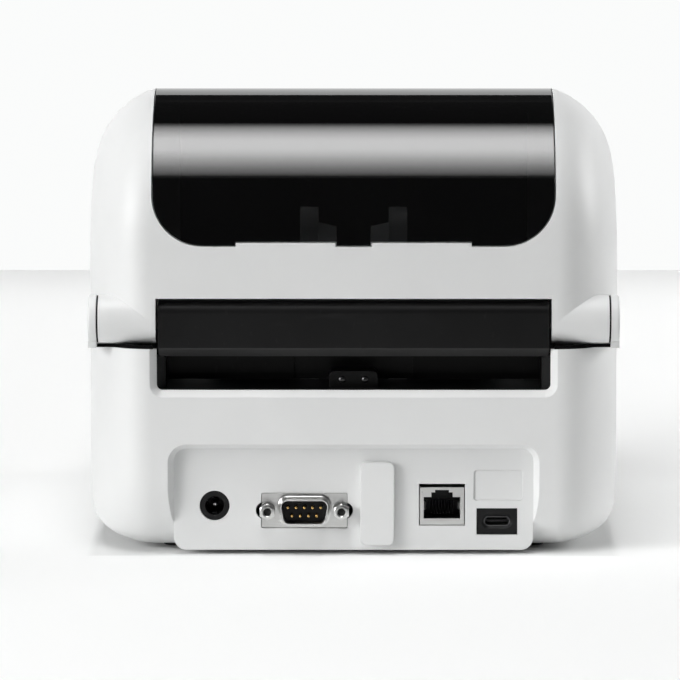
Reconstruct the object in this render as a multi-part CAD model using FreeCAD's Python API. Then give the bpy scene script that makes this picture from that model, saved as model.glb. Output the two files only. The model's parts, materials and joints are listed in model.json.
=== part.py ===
import FreeCAD, Part
import math
import os

from FreeCAD import Vector

# A desktop thermal label printer. Millimetres; +Z is up, the front faces -Y and the rear faces +Y.

# Outer form of the case
body_width = 180.5
body_depth = 223.0
body_height = 155.0
foot_height = 1.5
wall = 2.6
shoulder_reach = 22.45
shoulder_drop = 48.3
shoulder_powers = (1.3, 3.74)
corner_pull = 40.0
corner_powers = (2.28, 2.0)
belly_rise = 14.3
belly_powers = (1.5, 2.75)
shoulder_steps = 8
step_crowding = 2.4
loft_degree = 3
crest_radius = 46.0
side_crest_radius = 20.0
brow_radius = 30.0
side_brow_radius = 15.0
heel_radius = 22.0
side_heel_radius = 10.0
toe_radius = 14.0
side_toe_radius = 8.0
roof_fall = 5.0

# Clearances
running_clearance = 0.05
part_gap = 0.3
slack = 0.1

# Seam between the lower case and the cover, and the hinge at its rear corners
seam_height = 71.0
seam_gap = 1.8
knuckle_radius = 8.2
knuckle_gap = 1.2
ear_gap = 0.6
ear_thickness = 2.9
ear_inset = 0.8
ear_edge = 0.8
ear_web = 22.0
hinge_pin_radius = 3.0
hinge_pin_grip = 12.0
cover_rear_edge = 87.1

# Smoked window in the cover
window_gap = 0.35
window_bottom = 105.0
window_front_inset = 92.0
window_corner = 17.0
window_tab_height = 1.3
window_tab_width = 33.5
window_tab_offset = 22.8

# Media tray with its rear beam, the fanfold slot under the beam and the roll cradle
tray_wall = 2.0
tray_rim_drop = 0.6
bay_margin = 23.75
slot_floor = 56.2
slot_height = 11.2
slot_flare = 3.2
beam_recess = 0.6
beam_top_gap = 1.0
beam_side_gap = 0.8
beam_depth = 19.0
beam_wall = 2.4
beam_round = 4.0
beam_bevel_depth = 3.7
beam_bevel_height = 3.0
notch_bevel = 2.3
notch_corner = 2.0
roll_diameter = 127.0
roll_room = 2.5
roll_axis_y = 18.0
roll_lift = 1.0
cradle_flat = 21.5
stop_block_width = 16.4
stop_block_depth = 10.0
stop_block_height = 5.6
stop_block_setback = 8.0

# Roll guides with their racks and pinion
guide_end_gap = 1.2
hub_spacing = 12.0
hub_length = 6.4
hub_radius = 19.0
hub_taper = 1.5
guide_thickness = 6.4
guide_top = 110.0
guide_foot_width = 44.0
guide_foot_height = 14.0
guide_shoulder_height = 30.0
guide_neck_inset = 7.6
guide_corner = 6.0
guide_shoulder_corner = 8.0
guide_slot_width = 6.0
gear_module = 0.8
tooth_tip = 0.9
tooth_root = 1.2
tooth_angle = 20.0
tooth_backlash = 0.12
guide_pinion_teeth = 20
guide_pinion_width = 5.0
guide_post_radius = 3.0
guide_post_shoulder = 2.0
rack_width = 5.0

# Platen roller, its gear train and motor
platen_setback = 17.5
platen_height = 64.0
platen_radius = 8.0
platen_short = 0.5
platen_room = 1.5
platen_shaft_radius = 3.0
bearing_radius = 6.0
collar_length = 1.5
collar_rim = 1.0
platen_gear_teeth = 24
idler_teeth = 30
motor_pinion_teeth = 14
gear_width = 5.0
gear_inset = 1.5
shaft_end = 1.0
idler_angle = -68.0
motor_angle = -49.0
gear_post_radius = 2.5
motor_radius = 17.5
motor_length = 22.0
bracket_thickness = 1.5
bracket_round = 4.0
bracket_foot = 26.0
side_frame_bottom = 50.0

# Media sensor carriage on the deck
sensor_setback = 46.0
sensor_width = 16.0
sensor_depth = 7.2
sensor_rise = 2.3
sensor_lip = 2.4
sensor_corner = 1.2
sensor_end_gap = 8.5

# Cover latch with its two finger levers
latch_setback = 60.5
latch_height = 46.0
latch_shaft_radius = 2.5
latch_ring_radius = 6.0
latch_plate = 3.0
latch_inset = 10.0
latch_arm_width = 6.0
strike_radius = 2.0
strike_height = 77.5
latch_nose = 4.6
latch_round = 0.4
lever_length = 14.0
lever_height = 11.0
lever_drop = 4.2
lever_gap = 0.5
lever_swing = 15.0
lever_corner = 1.5
lever_rim = 2.5
lever_dish = 1.2

# Print head inside the cover
head_margin = 11.0
head_depth = 18.0
head_thickness = 2.0
sink_depth = 26.0
sink_height = 10.0
sink_fins = 5
fin_thickness = 1.6
head_plate = 1.5
head_pivot_setback = 29.0
head_pivot_rise = 15.7
head_pivot_radius = 2.0
head_ear_root = 8.0
head_ear_lead = 6.0
head_ear_reach = 4.5
head_ear_round = 4.0
housing_margin = 3.0
housing_wall = 2.0
housing_depth = 59.0
housing_floor = 76.0
housing_deck = 94.0
spring_width = 10.0
spring_thickness = 0.6
spring_offset = 30.0
spring_root = 8.0
spring_lift = 1.4

# Label exit with its tear bar
exit_margin = 4.5
exit_top = 77.0
exit_sill = 60.3
exit_depth = 8.0
lip_fall = 2.5
lip_round = 1.5
tear_margin = 4.0
tear_rise = 1.9
tear_thickness = 1.2
tear_pitch = 4.0
tear_tooth = 1.2

# Control panel on the front
panel_half_width = 40.0
panel_low = 24.0
panel_high = 46.0
panel_corner = 5.0
panel_sink = 0.8
panel_plate = 1.2
panel_backing = 2.0
button_radius = 5.5
button_flange = 1.4
button_proud = 0.6
button_travel = 1.0
button_offset = 24.0
button_dish = 0.275
button_dish_radius = 22.0
switch_radius = 2.5
switch_height = 3.0
key_board_margin = 4.0
key_post_radius = 2.5
key_post_offset = 12.0
light_radius = 1.5
light_offset = 5.0

# Connector bay in the rear
bay_half_top = 60.7
bay_height = 34.5
bay_recess = 4.0
bay_draft = 1.8
bay_corner = 4.3
bay_depth = 26.0
board_rise = 3.6
board_thickness = 1.6
board_depth = 42.0
board_corner = 2.0
board_post_radius = 3.0
board_post_inset = 6.0
chip_size = 14.0
chip_height = 1.6
chip_spacing = 38.0

# Power inlet, serial, network and supply ports
dc_x = 46.9
dc_z = 16.6
dc_radius = 4.95
dc_bore = 3.2
dc_pin_radius = 1.05
dc_pin_setback = 3.6
dc_body_width = 13.0
dc_body_depth = 12.0
serial_x = 16.6
serial_z = 14.9
serial_overhang = 1.0
serial_flange_width = 28.8
serial_flange_height = 11.7
serial_flange_thickness = 1.0
serial_flange_corner = 0.5
serial_opening_room = 0.15
serial_lobe_reach = 1.95
serial_lobe_height = 5.8
serial_fold = 1.2
serial_shell_width = 17.2
serial_shell_height = 8.6
serial_shell_slant = 10.0
serial_shell_wall = 0.4
serial_shell_round = 2.53
serial_insert_depth = 3.0
serial_insert_rise = 1.0
serial_carrier_margin = 3.62
serial_carrier_depth = 9.0
serial_pin_radius = 0.5
serial_pin_root = 4.0
serial_pin_setback = 1.0
serial_pin_pitch = 2.77
serial_row_pitch = 2.84
serial_screw_spacing = 24.99
standoff_across = 5.0
standoff_length = 5.0
standoff_bore = 1.4
lan_x = -29.85
lan_low = 10.1
lan_width = 14.9
lan_height = 12.7
lan_room = 0.3
lan_top_room = 1.2
lan_depth = 15.6
lan_skin = 0.4
lan_mouth_width = 12.3
lan_mouth_low = 12.2
lan_mouth_height = 7.3
lan_mouth_depth = 11.5
lan_step_width = 7.2
lan_step_height = 1.6
lan_key_width = 4.7
lan_key_height = 0.8
usb_x = -48.4
usb_z = 11.2
usb_insert_width = 13.6
usb_insert_height = 8.8
usb_width = 8.9
usb_height = 3.3
usb_skin = 0.3
usb_depth = 7.0
usb_setback = 0.3
usb_chamfer = 0.8
usb_tongue_width = 6.6
usb_tongue_thickness = 0.8
usb_tongue_setback = 1.2
plate_x = -48.8
plate_low = 18.4
plate_width = 16.5
plate_height = 10.2
plate_depth = 0.4
plate_corner = 1.0
blank_x = -8.0
blank_low = 3.3
blank_width = 11.6
blank_height = 28.3
blank_rise = 2.4
blank_corner = 2.2
blank_tongue_margin = 2.0

# Chassis and feet
chassis_side_margin = 30.25
chassis_thickness = 1.2
chassis_margin = 18.0
chassis_corner = 6.0
foot_radius = 7.0
foot_seat = 1.5
foot_side_margin = 32.25
foot_inset = 30.0

# Places worked out from the sizes above
half_width = body_width / 2
flat_half = half_width - shoulder_reach
flat_width = 2 * flat_half
rear = (body_depth - serial_overhang) / 2
front = -(body_depth + serial_overhang) / 2
case_top = seam_height - seam_gap / 2
cover_bottom = seam_height + seam_gap / 2
case_floor = foot_height + wall
side_inner = half_width - wall
hinge_y = rear - knuckle_radius
hinge_z = case_top + knuckle_gap + knuckle_radius
ear_outer = half_width - ear_inset
ear_inner = ear_outer - ear_thickness
knuckle_outer = ear_inner - ear_gap
tray_rim = case_top - tray_rim_drop
bay_half = half_width - bay_margin
tray_half = bay_half + tray_wall
deck_under = slot_floor - tray_wall
slot_top = slot_floor + slot_height
beam_rear = rear - beam_recess
beam_front = beam_rear - beam_depth
beam_top = cover_rear_edge - beam_top_gap
knuckle_inner = bay_half
beam_half = knuckle_inner - beam_side_gap
notch_half = bay_half - part_gap
roll_axis_height = cradle_flat + roll_lift + roll_diameter / 2
cradle_radius = roll_diameter / 2 + roll_room
hub_inner = hub_spacing / 2
guide_inner = hub_inner + hub_length
guide_outer = guide_inner + guide_thickness
guide_travel = bay_half - guide_outer - guide_end_gap
guide_pinion_radius = gear_module * guide_pinion_teeth / 2
rack_top = cradle_flat - tray_wall - part_gap
rack_bottom = rack_top - guide_pinion_width
chassis_half = half_width - chassis_side_margin
chassis_top = case_floor + chassis_thickness
foot_x = half_width - foot_side_margin
platen_y = front + platen_setback
platen_top = platen_height + platen_radius
head_half = bay_half - head_margin
platen_half = head_half - platen_short
gear_span = (tray_half + gear_inset, tray_half + gear_inset + gear_width)
platen_gear_radius = gear_module * platen_gear_teeth / 2
idler_radius = gear_module * idler_teeth / 2
motor_pinion_radius = gear_module * motor_pinion_teeth / 2
idler_reach = platen_gear_radius + idler_radius
idler_y = platen_y + idler_reach * math.cos(math.radians(idler_angle))
idler_z = platen_height + idler_reach * math.sin(math.radians(idler_angle))
motor_reach = idler_radius + motor_pinion_radius
motor_y = idler_y + motor_reach * math.cos(math.radians(motor_angle))
motor_z = idler_z + motor_reach * math.sin(math.radians(motor_angle))
bracket_x = bay_half - 3 * bracket_thickness
sensor_y = front + sensor_setback
sensor_travel = bay_half - sensor_width / 2 - sensor_end_gap
latch_y = front + latch_setback
latch_span = (side_inner - latch_inset, side_inner - latch_inset + latch_plate)
strike_y = latch_y + latch_arm_width / 2 + latch_nose
lever_top = case_top - lever_drop
head_low = platen_top + part_gap
head_rear = platen_y + head_depth / 2
sink_low = head_low + head_thickness
sink_top = sink_low + sink_height
pivot_y = platen_y + head_pivot_setback
pivot_z = head_low + head_pivot_rise
housing_half = bay_half - housing_margin
housing_rear = front + housing_depth
exit_half = bay_half - exit_margin
bay_plane = rear - bay_recess
bay_low = foot_height
bay_top = bay_low + bay_height
bay_back = bay_plane - wall
board_half = bay_half_top - wall - slack
board_low = case_floor + board_rise
board_top = board_low + board_thickness
board_rear = bay_back - part_gap
flange_rear = bay_plane - serial_flange_thickness / 2
shell_tip = rear + serial_overhang
usb_face = bay_plane - usb_setback
panel_face = front + panel_sink
panel_back = panel_face + panel_plate
button_seat = front + wall + panel_backing
flange_face = button_seat + part_gap
switch_face = flange_face + button_flange + button_travel + slack
key_board_face = switch_face + switch_height


def box(xs, ys, zs):
    return Part.makeBox(xs[1] - xs[0], ys[1] - ys[0], zs[1] - zs[0], Vector(xs[0], ys[0], zs[0]))


def rod_x(xs, y, z, radius):
    return Part.makeCylinder(radius, xs[1] - xs[0], Vector(xs[0], y, z), Vector(1, 0, 0))


def rod_y(ys, x, z, radius):
    return Part.makeCylinder(radius, ys[1] - ys[0], Vector(x, ys[0], z), Vector(0, 1, 0))


def rod_z(zs, x, y, radius):
    return Part.makeCylinder(radius, zs[1] - zs[0], Vector(x, y, zs[0]), Vector(0, 0, 1))


def mirrored(shape):
    return shape.mirror(Vector(0, 0, 0), Vector(1, 0, 0))


# A closed wire through corners given as (u, v, radius), each corner rounded by its radius.
# place turns (u, v) into a point in space.
def outline(corners, place):
    joints = []
    for i, (u, v, radius) in enumerate(corners):
        here = Vector(u, v, 0)
        before = Vector(*corners[i - 1][:2], 0) - here
        after = Vector(*corners[(i + 1) % len(corners)][:2], 0) - here
        before.normalize()
        after.normalize()
        if radius == 0:
            joints.append((here, None, here))
            continue
        half = before.getAngle(after) / 2
        bisector = before + after
        bisector.normalize()
        reach = radius / math.tan(half)
        middle = here + bisector * (radius / math.sin(half) - radius)
        joints.append((here + before * reach, middle, here + after * reach))
    edges = []
    for i, (start, middle, end) in enumerate(joints):
        if middle is not None:
            edges.append(Part.Arc(place(start), place(middle), place(end)).toShape())
        following = joints[(i + 1) % len(joints)][0]
        if (following - end).Length > 1e-6:
            edges.append(Part.LineSegment(place(end), place(following)).toShape())
    return Part.Wire(edges)


def wire_x(corners, x):
    return outline(corners, lambda p: Vector(x, p.x, p.y))


def wire_y(corners, y):
    return outline(corners, lambda p: Vector(p.x, y, p.y))


def wire_z(corners, z):
    return outline(corners, lambda p: Vector(p.x, p.y, z))


def prism_x(corners, xs):
    return Part.Face(wire_x(corners, xs[0])).extrude(Vector(xs[1] - xs[0], 0, 0))


def prism_y(corners, ys):
    return Part.Face(wire_y(corners, ys[0])).extrude(Vector(0, ys[1] - ys[0], 0))


def prism_z(corners, zs):
    return Part.Face(wire_z(corners, zs[0])).extrude(Vector(0, 0, zs[1] - zs[0]))


def rectangle(us, vs, radius):
    return [(us[0], vs[0], radius), (us[1], vs[0], radius), (us[1], vs[1], radius), (us[0], vs[1], radius)]


def around(centre, size):
    return (centre - size / 2, centre + size / 2)


# How far an edge is drawn in, from 0 to 1, along a superellipse with one power for each of its axes
def drawn_in(reach, powers):
    return 1 - (1 - reach ** powers[0]) ** (1 / powers[1])


# The side view of the case at one place across its width. reach runs from 0 on the flat middle band to
# 1 on the side face and draws every side in; inset offsets the outline inwards for the inner surface.
def side_profile(x, reach, inset):
    pull = drawn_in(reach, shoulder_powers)
    corner = corner_pull * drawn_in(reach, corner_powers)
    rear_y = rear - inset - corner
    front_y = front + inset + corner
    top = body_height - inset - shoulder_drop * pull
    bottom = foot_height + inset + belly_rise * drawn_in(reach, belly_powers)
    crest = crest_radius + (side_crest_radius - crest_radius) * pull - inset
    brow = brow_radius + (side_brow_radius - brow_radius) * pull - inset
    heel = heel_radius + (side_heel_radius - heel_radius) * pull - inset
    toe = toe_radius + (side_toe_radius - toe_radius) * pull - inset
    fall = math.radians(roof_fall)
    crest_y = rear_y - crest
    crest_z = top - crest
    brow_y = front_y + brow
    level = crest_z * math.cos(fall) - crest_y * math.sin(fall) + crest - brow
    brow_z = (level + brow_y * math.sin(fall)) / math.cos(fall)

    def at(y, z, radius, degrees):
        angle = math.radians(degrees)
        return Vector(x, y + radius * math.cos(angle), z + radius * math.sin(angle))

    # Each bend is its centre, its radius and the angles where it starts and ends.
    bends = [
        (crest_y, crest_z, crest, 0, 90 + roof_fall),
        (brow_y, brow_z, brow, 90 + roof_fall, 180),
        (front_y + toe, bottom + toe, toe, 180, 270),
        (rear_y - heel, bottom + heel, heel, 270, 360),
    ]
    edges = []
    for i, (y, z, radius, start, end) in enumerate(bends):
        arc = Part.Arc(at(y, z, radius, start), at(y, z, radius, (start + end) / 2), at(y, z, radius, end))
        edges.append(arc.toShape())
        next_y, next_z, next_radius, next_start, _ = bends[(i + 1) % len(bends)]
        line = Part.LineSegment(at(y, z, radius, end), at(next_y, next_z, next_radius, next_start))
        edges.append(line.toShape())
    return Part.Wire(edges)


# The whole case as one form: a flat middle band and, on each side, a loft along superellipses that
# rounds the shoulders, the upright corners and the underside in one surface.
def case_form(inset):
    band = Part.Face(side_profile(-flat_half, 0, inset)).extrude(Vector(flat_width, 0, 0))
    sections = []
    for step in range(shoulder_steps + 1):
        reach = 1 - (1 - step / shoulder_steps) ** step_crowding
        x = flat_half + (half_width - inset - flat_half) * reach
        sections.append(side_profile(x, reach, inset))
    shoulder = Part.makeLoft(sections, True, False, False, loft_degree)
    return band.fuse([shoulder, mirrored(shoulder)]).removeSplitter()


# The form between two heights
def form_slice(inset, low, high):
    reach = body_width + body_depth
    return case_form(inset).common(box((-reach, reach), (-reach, reach), (low, high)))


# The hinge ear of the lower case on the +X side: a disc beside the cover's knuckle, on a web that runs
# forwards into the side wall and stands clear of the rounded corner below it
def hinge_ear():
    xs = (ear_inner, ear_outer)
    disc = rod_x(xs, hinge_y, hinge_z, knuckle_radius)
    disc = disc.makeFillet(ear_edge, [edge_at_x(disc, ear_outer)])
    web_ys = (hinge_y - ear_web, hinge_y + knuckle_radius / 2)
    web = prism_x([(web_ys[0], case_top - wall, 0), (web_ys[1], case_top - wall, 0),
                   (web_ys[1], hinge_z, 0), (web_ys[0], hinge_z, wall)], xs)
    overhang = box(xs, web_ys, (case_top - wall, case_top)).cut(case_form(0))
    return disc.fuse(web.cut([rod_x(xs, hinge_y, hinge_z, knuckle_radius), overhang]))


def edge_at_x(shape, x):
    for edge in shape.Edges:
        if abs(edge.BoundBox.XMin - x) < 1e-4 and abs(edge.BoundBox.XMax - x) < 1e-4:
            return edge


def connector_bay_outline(grow):
    xs = (-bay_half_top - grow, bay_half_top + grow)
    return rectangle(xs, (bay_low, bay_top + grow), bay_corner + grow)


# The pocket behind which the connectors stand, wider at the rear face than at the connector plane
def connector_pocket():
    deep = connector_bay_outline(0)
    depth = bay_recess + wall
    reach = bay_draft * depth / bay_recess
    mouth = connector_bay_outline(reach)
    return Part.makeLoft([wire_y(deep, bay_plane), wire_y(mouth, bay_plane + depth)], True, True)


def serial_outline(grow):
    half = serial_shell_width / 2 + grow
    lean = math.tan(math.radians(serial_shell_slant)) * serial_shell_height
    low = serial_z - serial_shell_height / 2 - grow
    high = serial_z + serial_shell_height / 2 + grow
    radius = serial_shell_round + grow
    return [(serial_x - half + lean, low, radius), (serial_x + half - lean, low, radius),
            (serial_x + half, high, radius), (serial_x - half, high, radius)]


def lan_mouth_outline():
    low = lan_mouth_low
    shoulder = low + lan_mouth_height
    step = shoulder + lan_step_height
    top = step + lan_key_height
    half = lan_mouth_width / 2
    step_half = lan_step_width / 2
    key_half = lan_key_width / 2
    right = [(half, low), (half, shoulder), (step_half, shoulder), (step_half, step), (key_half, step),
             (key_half, top)]
    left = [(-u, v) for u, v in reversed(right)]
    return [(lan_x + u, v, 0) for u, v in right + left]


def usb_outline(grow):
    xs = around(usb_x, usb_width + 2 * grow)
    zs = around(usb_z, usb_height + 2 * grow)
    return rectangle(xs, zs, (zs[1] - zs[0]) / 2 - slack / 4)


def blank_tongue(grow):
    margin = blank_tongue_margin - grow
    xs = around(blank_x, blank_width - 2 * margin)
    zs = (board_top + margin, blank_low + blank_height - margin)
    return rectangle(xs, zs, blank_corner)


# Holes through the connector plane
def connector_holes():
    through = (bay_back - wall, bay_plane + wall)
    flange_xs = around(serial_x, serial_flange_width + 2 * serial_opening_room)
    flange_zs = around(serial_z, serial_flange_height + 2 * serial_opening_room)
    lobe_xs = around(serial_x, serial_flange_width + 2 * serial_lobe_reach)
    lobe_zs = around(serial_z, serial_lobe_height)
    lan_zs = (lan_low - lan_room, lan_low + lan_height + lan_top_room)
    holes = [
        rod_y(through, dc_x, dc_z, dc_radius + slack),
        prism_y(rectangle(flange_xs, flange_zs, serial_flange_corner), through),
        prism_y(rectangle(lobe_xs, lobe_zs, serial_lobe_height / 2 - slack), through),
        box(around(lan_x, lan_width + 2 * lan_room), through, lan_zs),
        prism_y(rectangle(around(usb_x, usb_insert_width + 2 * slack),
                          around(usb_z, usb_insert_height + 2 * slack), 0), through),
        prism_y(blank_tongue(slack), through),
        prism_y(rectangle(around(plate_x, plate_width), (plate_low, plate_low + plate_height), plate_corner),
                (bay_plane - plate_depth, through[1])),
    ]
    return holes


# The opening for the tray's beam and slot in the rear wall, with a bevel round its outer edge
def rear_notch():
    high = case_top + wall
    inner = rectangle((-notch_half, notch_half), (slot_floor - slack, high), notch_corner)
    spread = notch_bevel + wall
    outer = rectangle((-notch_half - spread, notch_half + spread),
                      (slot_floor - slack - spread, high + spread), notch_corner + spread)
    through = prism_y(inner, (rear - 2 * wall, rear + wall))
    bevel = Part.makeLoft([wire_y(inner, rear - notch_bevel), wire_y(outer, rear + wall)], True, True)
    return through.fuse(bevel)


def button_places():
    middle = (panel_low + panel_high) / 2
    return [(-button_offset, middle), (button_offset, middle)]


def light_places():
    middle = (panel_low + panel_high) / 2
    return [(-light_offset, middle), (light_offset, middle)]


def foot_places():
    return [(x, y) for x in (-foot_x, foot_x) for y in (front + foot_inset, rear - foot_inset)]


# The opening in the side wall, as large as the finger lever's swing about the latch shaft needs
def lever_window():
    turn = math.radians(lever_swing)
    half = lever_length / 2
    reach = lever_top - latch_height
    near = reach - lever_height
    ys = (latch_y - half * math.cos(turn) - reach * math.sin(turn) - lever_gap, latch_y + half + lever_gap)
    zs = (latch_height + near * math.cos(turn) - half * math.sin(turn) - lever_gap,
          latch_height + reach * math.cos(turn) + half * math.sin(turn) + lever_gap)
    return prism_x(rectangle(ys, zs, lever_gap), (side_inner - wall, half_width + wall))


def lower_case():
    outer = form_slice(0, foot_height, case_top)
    block_ys = (bay_plane - bay_depth, bay_plane)
    outer = outer.fuse(prism_y(connector_bay_outline(0), block_ys)).cut(connector_pocket())
    cavity = form_slice(wall, case_floor, case_top + wall)
    bay_inner = box((-bay_half_top + wall, bay_half_top - wall), (block_ys[0] - wall, bay_back),
                    (case_floor, bay_top))
    pocket_reach = bay_draft + wall
    backing = box((-bay_half_top - pocket_reach, bay_half_top + pocket_reach), (bay_back, rear),
                  (0, bay_top + pocket_reach))
    shell = outer.cut(cavity.fuse(bay_inner).cut(backing))
    panel_pad = box((-panel_half_width - wall, panel_half_width + wall), (front + wall / 2, button_seat),
                    (panel_low - wall, panel_high + wall))
    latch_boss = rod_x((latch_span[1] + wall, half_width - wall / 2), latch_y, latch_height, latch_ring_radius)
    ear = hinge_ear()
    post_xs = around(0, 2 * (board_half - board_post_inset))
    post_ys = (board_rear - board_depth + board_post_inset, board_rear - 2 * board_post_inset)
    posts = [rod_z((case_floor - wall / 2, board_low), x, y, board_post_radius) for x in post_xs for y in post_ys]
    middle = (panel_low + panel_high) / 2
    posts += [rod_y((button_seat - wall / 2, key_board_face), x, middle, key_post_radius)
              for x in around(0, 2 * key_post_offset)]
    shell = shell.fuse([panel_pad, latch_boss, mirrored(latch_boss), ear, mirrored(ear)] + posts)
    exit_notch = box((-exit_half, exit_half), (front - wall, front + exit_depth),
                     (exit_sill - part_gap, case_top + wall))
    panel_recess = prism_y(rectangle((-panel_half_width, panel_half_width), (panel_low, panel_high),
                                     panel_corner), (front - wall, panel_back))
    cuts = connector_holes() + [rear_notch(), exit_notch, panel_recess]
    for x, z in button_places():
        cuts.append(rod_y((front - wall, button_seat + wall), x, z, button_radius + slack))
    for x, z in light_places():
        cuts.append(rod_y((front - wall, button_seat + wall), x, z, light_radius))
    for x, y in foot_places():
        cuts.append(rod_z((foot_height - wall, foot_height + foot_seat), x, y, foot_radius))
    shaft = rod_x((latch_span[1], side_inner), latch_y, latch_height, latch_shaft_radius + running_clearance)
    pin = rod_x((ear_inner - wall, ear_outer - wall / 2), hinge_y, hinge_z, hinge_pin_radius)
    window = lever_window()
    for cut in (shaft, pin, window):
        cuts.extend([cut, mirrored(cut)])
    return shell.cut(cuts)


def feet():
    return [rod_z((0, foot_height + foot_seat), x, y, foot_radius) for x, y in foot_places()]


def chassis_plate():
    xs = (-chassis_half, chassis_half)
    ys = (front + chassis_margin, bay_plane - bay_depth - chassis_margin)
    plate = prism_z(rectangle(xs, ys, chassis_corner), (case_floor, chassis_top))
    post = rod_z((case_floor, rack_top), 0, roll_axis_y, guide_post_radius)
    shoulder_radius = guide_post_radius + guide_post_shoulder
    shoulder = rod_z((case_floor, rack_bottom - part_gap), 0, roll_axis_y, shoulder_radius)
    return plate.fuse([post, shoulder])


def main_board():
    ys = (board_rear - board_depth, board_rear)
    board = prism_z(rectangle((-board_half, board_half), ys, board_corner), (board_low, board_top))
    chip_ys = around(ys[0] + chip_size, chip_size)
    chips = [box(around(x, chip_size), chip_ys, (board_top, board_top + chip_height))
             for x in around(0, chip_spacing)]
    return board.fuse(chips)


# The black tray: a deck, the roll cradle, end walls that carry the platen, and the hollow rear beam
def media_tray():
    rear_edge = rear - wall - slack
    front_edge = front + wall + part_gap
    deck = box((-tray_half, tray_half), (front_edge, rear_edge), (deck_under, tray_rim))
    under = box((-tray_half, tray_half), (-body_depth, body_depth), (cradle_flat - tray_wall, tray_rim))
    bowl = rod_x((-tray_half, tray_half), roll_axis_y, roll_axis_height, cradle_radius + tray_wall).common(under)
    frame_drop = box((-tray_half, tray_half), (front_edge, platen_y + platen_setback / 2),
                     (side_frame_bottom, deck_under))
    tray = deck.fuse([bowl, frame_drop])
    inner_deck = box((-bay_half, bay_half), (front_edge - wall, rear + wall), (slot_floor, tray_rim + wall))
    inside = box((-bay_half, bay_half), (-body_depth, body_depth), (cradle_flat, tray_rim + wall))
    inner_bowl = rod_x((-bay_half, bay_half), roll_axis_y, roll_axis_height, cradle_radius).common(inside)
    platen_bay = box((-bay_half, bay_half), (front_edge - wall, platen_y + platen_radius + platen_room),
                     (side_frame_bottom - wall, tray_rim))
    frame_clear = box((-bay_half, bay_half), (front_edge - wall, platen_y + platen_setback),
                      (side_frame_bottom - wall, deck_under))
    tray = tray.cut([inner_deck, inner_bowl, platen_bay, frame_clear])
    tray = tray.fuse([rear_beam(), beam_link(), mirrored(beam_link()), slot_cheek(), mirrored(slot_cheek()),
                      stop_block()])
    hole = rod_x((bay_half - wall, tray_half + wall), platen_y, platen_height, bearing_radius)
    guide_slot = box((guide_inner - part_gap, guide_outer + guide_travel + part_gap),
                     around(roll_axis_y - guide_pinion_radius, guide_slot_width),
                     (cradle_flat - 2 * tray_wall, cradle_flat + tray_wall))
    other_slot = turned(guide_slot)
    reach = sensor_travel + sensor_width / 2 + part_gap
    sensor_slot = box((-reach, reach), around(sensor_y, sensor_depth + 2 * part_gap),
                      (deck_under - wall, slot_floor + wall))
    return tray.cut([hole, mirrored(hole), guide_slot, other_slot, sensor_slot])


# A half turn about the upright axis of the guide pinion
def turned(shape):
    return shape.rotated(Vector(0, roll_axis_y, 0), Vector(0, 0, 1), 180)


# The beam behind the roll: its rear face is the black panel over the fanfold slot
def rear_beam():
    foot = slot_top + beam_bevel_height
    corners = [(beam_rear - beam_bevel_depth, slot_top, 0), (beam_rear, foot, 0),
               (beam_rear, beam_top, beam_round), (beam_front, beam_top, beam_round),
               (beam_front, slot_top, beam_round / 2)]
    beam = prism_x(corners, (-beam_half, beam_half))
    inner = rectangle((beam_front + beam_wall, beam_rear - beam_wall),
                      (foot, beam_top - beam_wall), beam_round - beam_wall)
    return beam.cut(prism_x(inner, (-beam_half + beam_wall, beam_half - beam_wall)))


# Where the beam's ends rest on the end walls
def beam_link():
    return box((beam_half - beam_wall, tray_half), (beam_front, hinge_y), (slot_top, tray_rim))


# The slanted cheek that guides fanfold labels in from the side
def slot_cheek():
    rear_edge = rear - wall - slack
    corners = [(bay_half, rear_edge, 0), (bay_half, beam_front, 0), (bay_half - slot_flare, beam_front, 0),
               (bay_half - slot_flare, rear_edge - slot_flare, 0)]
    return prism_z(corners, (slot_floor, slot_top))


def stop_block():
    ys = (beam_rear - stop_block_setback - stop_block_depth, beam_rear - stop_block_setback)
    corners = rectangle(around(0, stop_block_width), (slot_floor - tray_wall, slot_floor + stop_block_height), 0)
    rounded = [(u, v, stop_block_height / 3 if v > slot_floor else 0) for u, v, _ in corners]
    return prism_y(rounded, ys)


# Teeth round a pitch circle, as straight flanks, with one tooth at the angle phase in degrees
def gear_corners(teeth, centre, phase):
    pitch_radius = gear_module * teeth / 2
    root = pitch_radius - tooth_root * gear_module
    tip = pitch_radius + tooth_tip * gear_module
    corners = []
    for tooth in range(teeth):
        middle = math.radians(phase) + 2 * math.pi * tooth / teeth
        flank = [(root, -tooth_half(-tooth_root)), (tip, -tooth_half(tooth_tip)), (tip, tooth_half(tooth_tip)),
                 (root, tooth_half(-tooth_root))]
        for radius, across in flank:
            angle = middle + across / radius
            corners.append((centre[0] + radius * math.cos(angle), centre[1] + radius * math.sin(angle), 0))
    return corners


# Half the thickness of a tooth at a height above the pitch line given in modules, less the backlash
def tooth_half(height):
    return gear_module * (math.pi / 4 - height * math.tan(math.radians(tooth_angle)) - tooth_backlash)


def idler_phase():
    return idler_angle + 180 + 180 / idler_teeth


# The motor pinion's gap that faces the idler's nearest tooth gives the pinion's phase
def motor_phase():
    pitch = 360 / idler_teeth
    offset = (idler_phase() - motor_angle) % pitch
    return motor_angle + 180 - offset * idler_teeth / motor_pinion_teeth + 180 / motor_pinion_teeth


def platen_gear():
    gear = prism_x(gear_corners(platen_gear_teeth, (platen_y, platen_height), idler_angle), gear_span)
    return gear.cut(rod_x((tray_half, gear_span[1] + wall), platen_y, platen_height, platen_shaft_radius))


def idler_gear():
    gear = prism_x(gear_corners(idler_teeth, (idler_y, idler_z), idler_phase()), gear_span)
    bore = gear_post_radius + running_clearance
    return gear.cut(rod_x((tray_half, gear_span[1] + wall), idler_y, idler_z, bore))


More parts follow.
